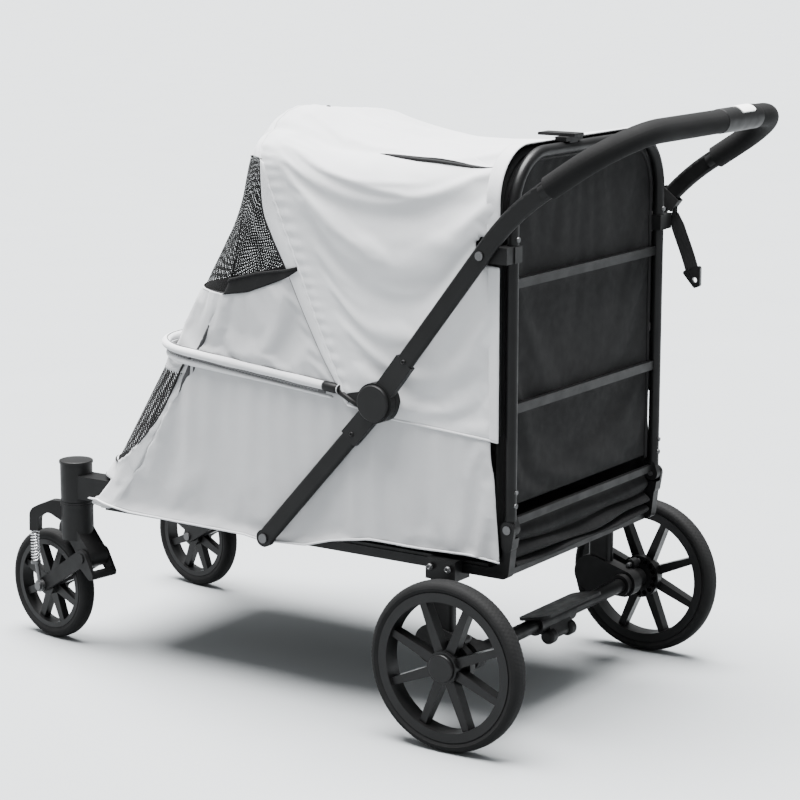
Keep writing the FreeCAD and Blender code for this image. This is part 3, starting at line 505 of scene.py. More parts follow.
def on_outline(test):
    """First outline point where test(y, z) holds, found between samples."""
    for i in range(len(OUTLINE) - 1):
        for t in np.linspace(0, 1, 8, endpoint=False):
            p = OUTLINE[i] * (1 - t) + OUTLINE[i + 1] * t
            if test(p[0], p[1]):
                return p, OUTLINE_RUN[i] + t * (OUTLINE_RUN[i + 1] - OUTLINE_RUN[i])
    raise ValueError("no such outline point")


def outline_between(run0, run1, count):
    runs = np.linspace(run0, run1, count)
    return np.stack([np.interp(runs, OUTLINE_RUN, OUTLINE[:, i]) for i in (0, 1)], axis=1)


def coons(first, last, starts, ends, count):
    """(y, z) grid between two boundary lines, with the rows' start and end points given."""
    n = len(starts)
    a = resampled(first, count)
    b = resampled(last, count)
    t = np.linspace(0, 1, count)[None, :, None]
    u = np.linspace(0, 1, n)[:, None, None]
    s = starts[:, None, :]
    e = ends[:, None, :]
    sides = (1 - u) * a[None] + u * b[None] + (1 - t) * s + t * e
    corners = (1 - u) * (1 - t) * a[0] + u * (1 - t) * b[0] + (1 - u) * t * a[-1] + u * t * b[-1]
    return sides - corners


def skin_rows(grid, flat, side):
    """Rows from the left end, over the front or top, to the right end, from rows of (y, z) points."""
    rows = []
    for line in grid:
        fine = resampled(line, 160, along=np.linspace(0, 1, 160) ** 1.8)
        x = side_x(fine)
        x[0] = FLAT_HALF
        corner = max(int(np.argmax(x >= side_x(line[40:41])[0] - 0.5)), 2)
        x[:corner] = np.maximum.accumulate(x[:corner])
        fine[:corner, 1] = np.minimum.accumulate(fine[:corner, 1])
        half = np.column_stack([x, fine])
        half = resampled(half, side + 1)
        level = np.column_stack([np.linspace(0, FLAT_HALF, flat, endpoint=False), np.tile(line[0], (flat, 1))])
        half = np.vstack([level, half])
        other = half[1:] * np.array([-1, 1, 1])
        rows.append(np.vstack([half[::-1], other]))
    return np.array(rows)


def waves(points, wavelength, direction, phase=0.0):
    """Sine waves through space along a direction."""
    along = points @ np.asarray(direction, float)
    return np.sin(2 * math.pi * along / wavelength + phase)


def bumpy(points, scale, seed):
    """Smooth noise in -1..1, from a few sine products."""
    rng = np.random.default_rng(seed)
    total = np.zeros(points.shape[:-1])
    for _ in range(7):
        direction = rng.normal(size=3)
        direction /= np.linalg.norm(direction)
        total += waves(points, scale * rng.uniform(0.7, 1.6), direction, rng.uniform(0, 6.3))
    return total / 4


def normals(rows):
    du = np.gradient(rows, axis=1)
    dv = np.gradient(rows, axis=0)
    n = np.cross(du, dv)
    n /= np.maximum(np.linalg.norm(n, axis=2), 1e-9)[..., None]
    middle = rows.reshape(-1, 3).mean(axis=0)
    if ((rows - middle) * n).sum() < 0:
        n = -n
    return n


def fade(value, low, high):
    """0 below low, 1 above high, smooth between."""
    t = np.clip((value - low) / (high - low), 0, 1)
    return t * t * (3 - 2 * t)


def edge_share(shape, reach):
    """0 on a grid's border, 1 at reach cells inside."""
    n, m = shape
    i = np.minimum(np.arange(n), np.arange(n)[::-1])[:, None]
    j = np.minimum(np.arange(m), np.arange(m)[::-1])[None, :]
    return fade(np.minimum(i, j).astype(float), 0, reach)


def cloth_piece(name, rows, material, keep=None, body="chassis"):
    """Sheet from a grid of points; keep(y, z, x) picks the cells that stay."""
    n, m = rows.shape[:2]
    faces = grid_faces(n, m)
    flat = rows.reshape(-1, 3)
    if keep is not None:
        middles = np.array([flat[list(face)].mean(axis=0) for face in faces])
        stays = keep(middles)
        faces = [face for face, stay in zip(faces, stays) if stay]
    piece = new_piece(name, metres(flat), faces, material, body, grid_uvs(rows))
    clean(piece)
    return piece


def clean(piece):
    """Removes loose points and turns the faces outwards."""
    mesh = bmesh.new()
    mesh.from_mesh(piece.data)
    loose = [v for v in mesh.verts if not v.link_faces]
    bmesh.ops.delete(mesh, geom=loose, context="VERTS")
    bmesh.ops.recalc_face_normals(mesh, faces=mesh.faces)
    middle = sum((v.co for v in mesh.verts), Vector()) / len(mesh.verts)
    if sum((f.calc_center_median() - middle).dot(f.normal) for f in mesh.faces) < 0:
        bmesh.ops.reverse_faces(mesh, faces=mesh.faces)
    mesh.to_mesh(piece.data)
    mesh.free()


def declared(piece, rows, least=0.0):
    """Works out a sheet's cut, the longest run across and along and the area of its cells, and keeps none of it.

    least is a floor on the area as a share of the rectangle, for a crescent that fills less than 0.3 of it.
    """
    across = max(lengths(row)[-1] for row in rows) * MM
    along = max(lengths(rows[:, j])[-1] for j in range(0, rows.shape[1], 5)) * MM
    area = sum(face.area for face in piece.data.polygons)
    area = max(area, least * across * along)


def sewn(name, rows, slot="fabric_grey", keep=None, thickness=CLOTH_THICK, inner_shade=None, least=0.0):
    """A cloth piece of the cabin that needs no settling."""
    piece = cloth_piece(name, rows, MATERIALS[slot], keep)
    declared(piece, rows, least=least)
    thickened(piece, thickness, inner_shade=inner_shade)
    collapse(piece)
    return piece


def cord(name, path, radius, material, sides=8, flatten=1.0):
    """A piping, seam or hem on the cabin, riding on the chassis."""
    piece = tube(name, path, radius, material, "chassis", sides=sides, flatten=flatten)
    collapse(piece)
    return piece


def boundary(piece):
    """Marks the vertices on the sheet's free edges."""
    mesh = bmesh.new()
    mesh.from_mesh(piece.data)
    mesh.verts.ensure_lookup_table()
    marks = np.array([v.is_boundary for v in mesh.verts])
    mesh.free()
    return marks


# ---------------------------------------------------------------- hood

CELL = 8.0
seam_start, seam_run = on_outline(lambda y, z: y < BOW_SEAM[0][0])
BOW_SEAM[0] = seam_start
HOOD_FOOT = [(HOOD_REAR, HOOD_FOOT_Z), (26, 495), (-162, 508), (-240, 521)]


def hood_rows(step=CELL):
    count = int(seam_run / step)
    starts = outline_between(0, seam_run, count)
    ends = resampled(HOOD_FOOT, count)
    rear_edge = [(HOOD_REAR, HOOD_TOP), (HOOD_REAR, HOOD_FOOT_Z)]
    grid = coons(rear_edge, BOW_SEAM, starts, ends, 90)
    return skin_rows(grid, int(FLAT_HALF / step), int(560 / step))


# Crown over the bow: each side's drop at the middle, the further drop at its shoulder and the power
# it grows with. A bump of BUMP_RISE stands at BUMP_X on the left.
LEFT_CROWN = (0.6, 17, 7.3)
RIGHT_CROWN = (4, 38, 2.6)
SHOULDER_X = 188
BUMP_RISE = 12.3
BUMP_X = 117
BUMP_REACH = 67
HOOD_DEPTH = 446


def crowned(rows):
    """Bow's crown: the right shoulder lies low, the left one stands full and drops at its corner."""
    x, y, z = rows[..., 0], rows[..., 1], rows[..., 2]
    near_bow = np.clip((HOOD_REAR - y) / HOOD_DEPTH, 0, 1)
    d = depth_in(rows[..., 1:].reshape(-1, 2)).reshape(x.shape)
    out_from_middle = np.minimum(np.abs(x) / SHOULDER_X, 1.06)
    left = fade(x, -60, 60)
    low, full = [a + b * out_from_middle**power for a, b, power in (RIGHT_CROWN, LEFT_CROWN)]
    drop = low * (1 - left) + full * left
    c = drop * near_bow * fade(z, 840, 940)
    out = rows.copy()
    out[..., 2] -= np.sqrt(d**2 + c**2) - d
    bump = np.exp(-(((x - BUMP_X) / BUMP_REACH) ** 2))
    out[..., 2] += BUMP_RISE * bump * near_bow**1.5 * fade(z, 900, 960)
    return out


SAG_Y = [-440, -398, -314, -233, -133, -77, -27, 10, HOOD_REAR]
SAG_Z = [0, 9.0, 21.0, 27.0, 25.0, 21.0, 15.0, 7.0, 0]


def groove(distance, depth=2.6, reach=7.0, puff=1.8):
    """Cloth beside a seam: drawn in at the stitches and puffed out next to them."""
    t = np.clip(distance / reach, 0, 3)
    return -depth * np.exp(-(t**2) * 1.6) + puff * np.exp(-((t - 1.9) ** 2) * 2.2)


def hood_shape(rows):
    """Sag between the hoops, gathers along the bow seam and soft folds."""
    n, m = rows.shape[:2]
    out = crowned(rows)
    u = np.linspace(0, 1, n)[:, None]
    x, y, z = rows[..., 0], rows[..., 1], rows[..., 2]
    lift = normals(out)
    d = depth_in(rows[..., 1:].reshape(-1, 2)).reshape(x.shape)
    span = np.sin(math.pi * u)
    top = 1 - fade(d, 10, 120)
    out[..., 2] -= np.interp(y, SAG_Y, SAG_Z) * top
    side = fade(np.abs(x), 215, 250)
    hollow = -5.0 * side * span * np.sin(math.pi * np.clip((z - 500) / 430, 0, 1))
    from_seam = (1 - u) * seam_run
    gather = np.exp(-((from_seam - 12) ** 2) / 340)
    along = z * 1.1 + 6 * np.sin(z / 37.0)
    ripple = 1.7 * gather * np.sin(2 * math.pi * along / 23.0) * side
    ripple += 1.2 * gather * np.sin(2 * math.pi * x / 29.0) * top
    turned = np.array([[1, 0, 0], [0, 0.8, 0.6], [0, -0.6, 0.8]])
    folds = 3.0 * bumpy(out, 230, 3) + 1.6 * bumpy(out * np.array([1, 1, 2.0]), 120, 5)
    folds += 2.4 * fade(bumpy(out @ turned, 120, 8), 0.25, 1.0)
    folds += 2.0 * fade(bumpy(out @ turned.T * np.array([1, 1.7, 0.8]), 90, 12), 0.35, 1.0) * side
    folds *= edge_share((n, m), 7)
    edge = groove(from_seam, depth=-0.6, reach=7.0, puff=2.4)
    out += lift * (hollow + ripple + folds + edge * fade(z, 500, 560))[..., None]
    return out


def notched(middles):
    """Leaves room for the handle's pivot bracket at the hood's rear edge."""
    x, y, z = np.abs(middles[:, 0]), middles[:, 1], middles[:, 2]
    return ~((x > 240) & (y > 4) & (z > 768) & (z < 812))


hood_grid = hood_shape(hood_rows())
hood = cloth_piece("hood", hood_grid, MATERIALS["fabric_grey"], notched)
corners = np.array([v.co for v in hood.data.vertices])
on_bow = np.array([np.linalg.norm(corners - p, axis=1) < BOW_HOLD for p in metres(hood_grid[-1])]).any(axis=0)
settle(hood, boundary(hood) | on_bow, SETTLE_FRAMES, 0.012, 0.15, 0.009)
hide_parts("canopy_cover")
declared(hood, hood_grid)
thickened(hood, CLOTH_THICK, inner_shade=INSIDE_SHADE_CLOTH)
collapse(hood)


def laid_on(piece, points, lift):
    """Points dropped onto a piece's top face, then raised by lift."""
    mesh = piece.data
    tree = BVHTree.FromPolygons([v.co for v in mesh.vertices], [list(p.vertices) for p in mesh.polygons])
    out = []
    for (x, y), rise in zip(points, np.broadcast_to(lift, len(points))):
        place = tree.ray_cast(Vector(metres([x, y, 1150.0])), Vector((0, 0, -1)))[0]
        out.append((x, y, place.z / MM + rise))
    return np.array(out)


# slit in the roof beside the left edge: its upper lip laps over by SLIT_LAP and stands up by SLIT_RISE
SLIT = [(198, -215), (204, -175), (207, -133), (212, -92), (219, -50), (229, 5), (233, 24)]
SLIT_LAP = 26.0
SLIT_RISE = 6.6
slit_line = smooth_line(SLIT, 60)
slit_share = np.sin(math.pi * np.linspace(0, 1, 60) ** 0.8)
dark_line = laid_on(hood, slit_line, 2.4 * slit_share)
cord("hood_slit", dark_line, 1.0 + 2.4 * slit_share, PIPING_BLACK, sides=10)
flap_lines = []
for back in (SLIT_LAP, 20.0, 14.0, 9.0, 5.0, 3.0, 1.6):
    rise = 0.5 + SLIT_RISE * slit_share * (1 - back / SLIT_LAP) ** 1.5
    flap_lines.append(laid_on(hood, slit_line - slit_share[:, None] * np.array([back, 0.2 * back]), rise))
sewn("hood_slit_lip", np.array(flap_lines), thickness=HEM_THICK)

tab_line = laid_on(hood, [(73, -402), (76, -402), (80, -402), (83, -402)], 1.0)
cord("hood_tab", tab_line, [1.2, 1.9, 1.9, 1.2], MATERIALS["fabric_black"])

# hem along the hood's rear edge, sewn on as a second layer
outwards = normals(hood_grid)
hem_rows = np.concatenate([hood_grid[:1] + outwards[:1] * 0.2, hood_grid[:4] + outwards[:4] * 2.0])
sewn("hood_rear_hem", hem_rows, keep=notched, thickness=HEM_THICK)


def line_on_skin(points, count=160, out=1.0):
    """3-D lines over a (y, z) line on the left and right side of the cabin."""
    line = resampled(points, count)
    x = side_x(line) + out
    left = crowned(np.column_stack([x, line]))
    return left, left * np.array([-1, 1, 1])


def around(points, count=160, out=1.0, flat=24):
    """3-D line along a (y, z) line that starts on the outline, over the front or top to the other side."""
    line = resampled(points, count, along=np.linspace(0, 1, count) ** 1.5)
    x = side_x(line) + out
    x[0] = FLAT_HALF
    left = np.column_stack([x, line])
    level = np.column_stack([np.linspace(FLAT_HALF, -FLAT_HALF, flat + 2)[1:-1], np.tile(line[0], (flat, 1))])
    right = left * np.array([-1, 1, 1])
    return crowned(np.vstack([left[::-1], level, right]))


cord("bow_piping", hood_grid[-1] + outwards[-1] * 0.4, 2.3, PIPING_GREY)
for label, column in (("left", 0), ("right", -1)):
    cord("hood_foot_hem_" + label, hood_grid[:, column] + outwards[:, column] * 0.9, 2.0, PIPING_GREY)

# ---------------------------------------------------------------- front cover and upper window

BAND_LOW = [(-553, 679), (-494, 679), (-443, 687), (-397, 704), (-360, 718), (-338, 731)]
BAND_TOP = [(-541, 692), (-487, 705), (-423, 722), (-363, 732), (-341, 738)]
STRIP_EDGE = [
    (-415, 916), (-411, 833), (-394, 789), (-363, 732), (-331, 668), (-296, 603), (-262, 550), (-248, 526),
]
strip_inner = smooth_line(STRIP_EDGE, 90)
RIM_TOP = [(-560, 574), (-400, 559), (-262, 546), (-250, 545)]


def from_outline(points, height):
    start, run = on_outline(lambda y, z: y < -440 and z < height)
    return np.vstack([start, points]), run


band_low, band_low_run = from_outline(BAND_LOW, 681)
band_top, band_top_run = from_outline(BAND_TOP, 690)
rim_top, rim_top_run = from_outline(RIM_TOP, 582)
window_top, window_top_run = from_outline([(-440, 921), (-415, 916)], 925)


def panel(first, last, run0, run1, ends, flat=21, side=62):
    count = len(ends)
    starts = outline_between(run0, run1, count)
    grid = coons(first, last, starts, ends, 80)
    return skin_rows(grid, flat, side)


def cover_shape(rows, seed, amount, seams=0.0):
    """Soft folds over a front panel, drawn in along its sewn ends when seams is set."""
    n, m = rows.shape[:2]
    lift = normals(rows)
    step = np.linalg.norm(rows[n // 2, 1] - rows[n // 2, 0])
    ends = np.minimum(np.arange(m), np.arange(m)[::-1])[None, :] * step
    folds = bumpy(rows, 170, seed) * 2.4 + bumpy(rows * np.array([1.8, 1, 0.7]), 70, seed + 1) * 0.9
    creases = fade(bumpy(rows @ np.array([[1, 0, 0], [0, 0.7, 0.7], [0, -0.7, 0.7]]), 90, seed + 2), 0.35, 1.0)
    folds = (folds + creases * 1.6) * edge_share((n, m), 5) * amount
    gathers = 1.2 * np.exp(-((ends - 14) ** 2) / 200) * waves(rows, 24, (0, 0.5, 0.9))
    folds = folds + seams * (groove(ends) + gathers)
    return rows + lift * folds[..., None]


beside_cover = (strip_inner[:, 1] <= 728) & (strip_inner[:, 1] >= 545)
cover_ends = resampled(strip_inner[beside_cover], 24) + np.array([3.0, 0])
cover_top = band_low + np.array([0, 7.0])
cover_grid = panel(cover_top, rim_top, band_low_run - 8, rim_top_run, cover_ends)
cover_grid = cover_shape(cover_grid, 21, 1.3, seams=1.0)
# painted shade: the front cover takes the darkened lower grey
cover = cloth_piece("front_cover_cloth", cover_grid, SHADED_LOWER_GREY)
settle(cover, boundary(cover), SETTLE_FRAMES, 0.014, 0.1, 0.007)
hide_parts("front_cover")
declared(cover, cover_grid)
thickened(cover, CLOTH_THICK, inner_shade=INSIDE_SHADE_CLOTH)
collapse(cover)

band_grid = panel(band_top, band_low, band_top_run, band_low_run, resampled([(-337, 738.5), (-336, 733)], 5))
over_sleeve = fade(band_grid[..., 1], -376, -356) * fade(np.abs(band_grid[..., 0]), 225, 240)
band_grid += normals(band_grid) * 1.6
band_grid[..., 0] += np.sign(band_grid[..., 0]) * 4.4 * over_sleeve
sewn("window_band", band_grid, "fabric_black", least=0.31)

sleeve_seam = resampled(BOW_SEAM[BOW_SEAM[:, 1] <= 912], 90)
strip_edge = resampled(strip_inner[strip_inner[:, 1] <= 914], 90)


def bow_sleeve(side):
    """Padded channel along the bow, between the hood's gathers and the window or front cover."""
    grid = []
    for a, b in zip(sleeve_seam, strip_edge):
        wide = a + (a - b) / max(np.linalg.norm(a - b), 1.0) * 5.0
        line = resampled([wide, b], 12)
        grid.append(np.column_stack([side_x(line), line]))
    sheet = np.array(grid)
    across = np.linspace(0, 1, 12)[None, :]
    ridge = 4.6 * np.sin(math.pi * np.clip(across * 1.06 - 0.06, 0, 1)) ** 0.6 - 1.2
    along = lengths(sheet[:, 5])[:, None]
    ridge = ridge + 0.5 * np.sin(along / 17.0) * np.sin(math.pi * across)
    sheet[..., 0] += ridge
    sheet[..., 0] *= side
    return sheet


for label, side in (("left", 1), ("right", -1)):
    rows = bow_sleeve(side)
    sewn("bow_sleeve_" + label, rows)
    # painted shade: the inner seam line is the seam-shadow grey; the outer one is grey piping
    for name, column, radius, thread in (("inner", -1, 1.1, PAINTED_SEAM_SHADE), ("outer", 0, 0.9, PIPING_GREY)):
        line = rows[4:, column] + np.array([side * 0.6, 0, 0])
        cord(f"sleeve_{name}_seam_{label}", line, radius, thread, sides=6)

seam_high = BOW_SEAM[BOW_SEAM[:, 1] >= 914]
under = seam_high + np.array([9.0, 0.5])
brim_ends = resampled(np.vstack([under[-1:], [(-415, 916)]]), 30)
brim_grid = panel(under, window_top, seam_run - 9, window_top_run, brim_ends, flat=24, side=44)
brim_grid = crowned(brim_grid)
from_seam = np.linalg.norm(brim_grid - brim_grid[:1], axis=2)
tuck = groove(from_seam - 9, depth=3.2, puff=2.0) - 1.0 * (1 - fade(from_seam, 8, 14))
brim_grid += normals(brim_grid) * tuck[..., None]
sewn("hood_brim", brim_grid, inner_shade=INSIDE_SHADE_CLOTH)

NET_HOLE = 0.46


def net(name, rows, keep=None):
    """Open net: a lattice of diamonds with their middles cut out."""
    n, m = rows.shape[:2]
    flat = rows.reshape(-1, 3)
    faces = []
    for i in range(1, n - 1):
        for j in range(1, m - 1):
            if (i + j) % 2:
                faces.append(((i - 1) * m + j, i * m + j + 1, (i + 1) * m + j, i * m + j - 1))
    if keep is not None:
        middles = np.array([flat[list(face)].mean(axis=0) for face in faces])
        faces = [face for face, stay in zip(faces, keep(middles)) if stay]
    vertices = metres(flat)
    out_v = list(vertices)
    out_f = []
    for face in faces:
        corners = vertices[list(face)]
        middle = corners.mean(axis=0)
        first = len(out_v)
        out_v.extend(middle + (corners - middle) * NET_HOLE)
        for k in range(4):
            after = (k + 1) % 4
            out_f.append((face[k], face[after], first + after, first + k))
    piece = new_piece(name, out_v, out_f, MATERIALS["mesh_black"], "chassis")
    clean(piece)
    return piece


window_edge = resampled(strip_inner[strip_inner[:, 1] >= 732], 84)
window_grid = panel(window_top, band_top, window_top_run, band_top_run, window_edge, flat=58, side=100)
window_grid = cover_shape(crowned(window_grid), 33, 0.5) - normals(window_grid) * 1.0
window = net("upper_window_net", window_grid)
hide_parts("upper_mesh")
declared(window, window_grid)
collapse(window)
for label, line in zip(("left", "right"), line_on_skin(strip_inner[strip_inner[:, 1] >= 732], 60, 0.6)):
    cord("window_binding_" + label, line, 1.7, PIPING_BLACK)
cord("window_low_binding", band_grid[0] + normals(band_grid)[0] * 0.8, 1.9, PIPING_BLACK)

# ---------------------------------------------------------------- lower body

RIM_LOW = [(-560, 566), (-400, 551), (-250, 537), (-238, 521), (-162, 508), (26, 495), (31, 493)]
HEM = [
    (-792, 286), (-707, 276), (-626, 275), (-459, 273), (-419, 268), (-330, 273), (-274, 289),
    (-198, 302), (-100, 301), (-5, 304), (50, 299),
]
REAR_EDGE = [(31, 493), (33, 462), (39, 430), (44, 370), (50, 299)]
tub_top, tub_top_run = from_outline(RIM_LOW, 579)
tub_hem, tub_hem_run = from_outline(HEM, 287)
NET_EDGE = smooth_line(
    [(-552, 572), (-580, 554), (-604, 512), (-635, 458), (-686, 402), (-722, 371), (-752, 358)], 80
)


def past_net_edge(points):
    """Signed distance in front of the lower window's edge, at (y, z) points."""
    order = np.argsort(NET_EDGE[:, 1])
    edge_y = np.interp(points[:, 1], NET_EDGE[order, 1], NET_EDGE[order, 0])
    return np.where(points[:, 1] < NET_EDGE[-1, 1], -1e3, edge_y - points[:, 0])


def tub_rows(step=CELL, count=None):
    n = count or int(215 / step) + 8
    starts = outline_between(tub_top_run, tub_hem_run, n)
    ends = resampled(smooth_line(REAR_EDGE, 60), n)
    grid = coons(tub_top, tub_hem, starts, ends, 120)
    return skin_rows(grid, int(FLAT_HALF / step), int(800 / step))


def snapped(rows):
    """Moves grid points near the lower window's edge on to it, so that the cut is clean."""
    out = rows.copy()
    flat = out.reshape(-1, 3)
    gap = flat[:, None, 1:] - NET_EDGE[None]
    distance = np.linalg.norm(gap, axis=2)
    nearest = distance.argmin(axis=1)
    close = distance.min(axis=1) < 4.6
    flat[close, 1:] = NET_EDGE[nearest[close]]
    moved = flat[close]
    wide = np.abs(moved[:, 0]) > FLAT_HALF + 2
    x = side_x(moved[:, 1:])
    moved[wide, 0] = np.sign(moved[wide, 0]) * x[wide]
    flat[close] = moved
    return flat.reshape(rows.shape)


def tub_shape(rows):
    n, m = rows.shape[:2]
    x, y, z = rows[..., 0], rows[..., 1], rows[..., 2]
    lift = normals(rows)
    side = fade(np.abs(x), 225, 250)
    low = 1 - fade(z, 300, 480)
    rear = fade(y, -230, -20)
    drape = 3.2 * waves(rows, 86, (0, 1, 0.18), 0.6) * rear * low
    drape = drape + 1.6 * waves(rows, 47, (0, 1, -0.2), 2.0) * rear * low
    folds = 2.0 * bumpy(rows, 190, 41) + 0.9 * bumpy(rows * np.array([1, 1.6, 1]), 80, 43)
    turned = rows @ np.array([[1, 0, 0], [0, 0.8, -0.6], [0, 0.6, 0.8]])
    creases = fade(bumpy(turned, 100, 47), 0.3, 1.0) * 1.8
    inset = -1.5 * side * fade(z, 470, 520)
    bulge = 3.0 * np.sin(math.pi * np.clip((z - 290) / 260, 0, 1)) * side
    free = edge_share((n, m), 4)
    return rows + lift * ((folds + creases + bulge) * free + drape * edge_share((n, m), 1.5) + inset)[..., None]


tub_grid = snapped(tub_rows())


def cloth_side(middles):
    return past_net_edge(middles[:, 1:]) < 0


def bracket_clear(middles):
    """Leaves room for the brackets of the front supports."""
    x, y, z = np.abs(middles[:, 0]), middles[:, 1], middles[:, 2]
    return ~((x > 186) & (x < 236) & (y < -764) & (z < 323) & (z > 270))


# painted shade: the tub takes the darkened lower grey
tub = cloth_piece(
    "tub_cloth",
    tub_shape(tub_grid),
    SHADED_LOWER_GREY,
    lambda middles: cloth_side(middles) & bracket_clear(middles),
)
hem_free = np.array([v.co.z for v in tub.data.vertices]) < 0.31
tub_y = np.array([v.co.y for v in tub.data.vertices])
hem_free &= tub_y > AXLE_Y - 0.24
settle(tub, boundary(tub) & ~hem_free, SETTLE_FRAMES, 0.012, 0.4, 0.009)
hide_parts("cabin_tub")
declared(tub, tub_grid)
thickened(tub, CLOTH_THICK, inner_shade=INSIDE_SHADE_CLOTH)
collapse(tub)

net_rows = tub_rows(3.0, count=96)
net_rows = net_rows - 1.0 * normals(net_rows)


def net_side(middles):
    return past_net_edge(middles[:, 1:]) > -3.0


lower_net = net("lower_window_net", net_rows, net_side)
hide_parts("lower_mesh")
collapse(lower_net)
start, _ = on_outline(lambda y, z: y < -440 and z < 357)
net_binding = around(np.vstack([start, NET_EDGE[::-1]]), 160, out=1.6)
cord("lower_window_binding", net_binding, 2.0, PIPING_BLACK)
cord("tub_hem", around(tub_hem, 260, out=1.0), 1.9, PIPING_GREY)

# ---------------------------------------------------------------- rim sleeve and zip


RIM_REAR = (-246, 545)
RIM_SLOPE = 0.0929


def rim_height(y):
    """The rim rises towards the front from its rear end at RIM_REAR."""
    return RIM_REAR[1] - (y - RIM_REAR[0]) * RIM_SLOPE


def rim_path(x, drop, front, rear, radius, count=200):
    """Line round the front at the rim's height less drop."""
    corner = [(x, rear), (x, front), (-x, front), (-x, rear)]
    plan = rounded_line(corner, [0, radius, radius, 0])
    plan = resampled(plan, count)
    return np.column_stack([plan, [rim_height(y) - drop for y in plan[:, 1]]])


rim_x = (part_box("cabin_rim")[1][0]) / MM - 7.0
sleeve_path = rim_path(rim_x, 0.0, -661, -256, 86, 260)
sleeve_run = lengths(sleeve_path)
sleeve_r = 7.2 + 0.35 * np.sin(sleeve_run / 31.0) + 0.25 * np.sin(sleeve_run / 12.0 + 1.0)
sleeve = tube("rim_sleeve", sleeve_path, sleeve_r, PIPING_GREY, "chassis", sides=16)
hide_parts("cabin_rim")
collapse(sleeve)
# painted shade: dark line along the rim sleeve's upper edge where the seam's shadow falls
cord("rim_seam_shadow", rim_path(rim_x - 1.5, -7.4, -659, -262, 85, 220), 1.1, PAINTED_SEAM_SHADE, sides=6)
lower_path = rim_path(rim_x - 3.0, 17.5, -655, -272, 83, 260)
lower_run = lengths(lower_path)
taper = np.minimum(lower_run, lower_run[::-1])
lower_radius = 2.4 + 3.2 * fade(taper, 60, 330)
cord("rim_lower_sleeve", lower_path, lower_radius, PIPING_GREY, sides=12)


def zip_teeth(name, path, pitch, size):
    """Interlocking teeth along a line."""
    run = lengths(path)
    count = int(run[-1] / pitch)
    points = resampled(path, count)
    tangents = np.gradient(points, axis=0)
    vertices = []
    faces = []
    for k, (point, tangent) in enumerate(zip(points, tangents)):
        t = tangent / np.linalg.norm(tangent)
        up = np.array([0.0, 0.0, 1.0])
        out = np.cross(t, up)
        out /= np.linalg.norm(out)
        middle = point + up * (0.7 if k % 2 else -0.7)
        first = len(vertices)
        for a in (-1, 1):
            for b in (-1, 1):
                for c in (-1, 1):
                    vertices.append(middle + t * a * size[0] + out * b * size[1] + up * c * size[2])
        for quad in ((0, 1, 3, 2), (4, 6, 7, 5), (0, 4, 5, 1), (2, 3, 7, 6), (0, 2, 6, 4), (1, 5, 7, 3)):
            faces.append(tuple(first + q for q in quad))
    return new_piece(name, metres(vertices), faces, ZIP_TEETH, "chassis", smooth=False)


collapse(zip_teeth("rim_zip_teeth", rim_path(rim_x - 2.5, 10.2, -658, -300, 85, 300), 3.4, (1.1, 1.3, 1.5)))
# painted shade: the zip tape behind the teeth takes the seam-shadow grey
cord("rim_zip_tape", rim_path(rim_x - 5.0, 10.2, -655, -285, 83, 220), 4.2, PAINTED_SEAM_SHADE, flatten=0.45)

for label, side in (("left", 1), ("right", -1)):
    x = side * rim_x
    caps = [
        tube("end", [(x, y, rim_height(y)) for y in (-286, -282, -262, -254)], [7.4, 8.6, 8.6, 6.5],
             MATERIALS["plastic_black"], "chassis", sides=16),
        tube("arm", [(x - side * 3, y, z) for y, z in ((-272, 545), (-256, 541), (-236, 530), (-214, 520))],
             [6.0, 5.4, 4.6, 3.8], MATERIALS["plastic_black"], "chassis", sides=10),
    ]
    collapse(joined("rim_end_bracket_" + label, caps))

# ---------------------------------------------------------------- rear panel and folded liner


def arch_line(x, top, radius, low, y, count):
    """Line up one side, over the arch and down the other."""
    corner = [(x, low), (x, top), (-x, top), (-x, low)]
    plan = resampled(rounded_line(corner, [0, radius, radius, 0]), count)
    return np.column_stack([plan[:, 0], np.full(count, y), plan[:, 1]])


ARCH_X = 237.5
ARCH_Y = 59.5
ARCH_TOP = 941.0
PANEL_LOW = 384


def back_rows():
    """Panel inside the arch: every row ends on the arch's inner line."""
    border = arch_line(ARCH_X - 12, ARCH_TOP - 12, 80, PANEL_LOW, ARCH_Y - 11, 241)
    half = border[:121]
    rows = []
    for z in np.linspace(PANEL_LOW, ARCH_TOP - 12.3, 62):
        x = np.interp(z, half[:, 2], half[:, 0])
        line = np.linspace(x, -x, 61)
        rows.append(np.column_stack([line, np.full(61, ARCH_Y - 11), np.full(61, z)]))
    return np.array(rows)


def back_shape(rows):
    n, m = rows.shape[:2]
    x, z = rows[..., 0], rows[..., 2]
    folds = 1.6 * bumpy(rows, 230, 51) + 0.8 * bumpy(rows * np.array([1, 1, 0.45]), 90, 53)
    sag = -2.0 * np.sin(math.pi * np.clip((z - PANEL_LOW) / 540, 0, 1)) * np.cos(math.pi * x / 460)
    droop = 2.2 * waves(rows, 120, (0.9, 0, -0.45), 1.1) * (1 - fade(z, 400, 560))
    out = rows.copy()
    out[..., 1] += (folds + sag + droop) * edge_share((n, m), 5)
    return out


back_grid = back_shape(back_rows())
back = cloth_piece("back_panel_cloth", back_grid, MATERIALS["fabric_black"], body="rear_frame")
settle(back, boundary(back), 18, 0.006, 0.2, 0.004)
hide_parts("back_panel")
declared(back, back_grid)
thickened(back, BLACK_THICK)
tube(
    "back_panel_piping", arch_line(ARCH_X - 12.5, ARCH_TOP - 12.5, 80, 380, ARCH_Y - 9.5, 260), 3.4,
    PIPING_BLACK, "rear_frame", sides=10,
)
hoop_cord = tube(
    "rear_hoop_sleeve", arch_line(242.5, ARCH_TOP + 1.5, 93, 500, 36, 300),
    6.2 + 0.4 * np.sin(np.linspace(0, 60, 300)), PIPING_BLACK, "rear_frame", sides=14,
)
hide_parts("canopy_rear_hoop")


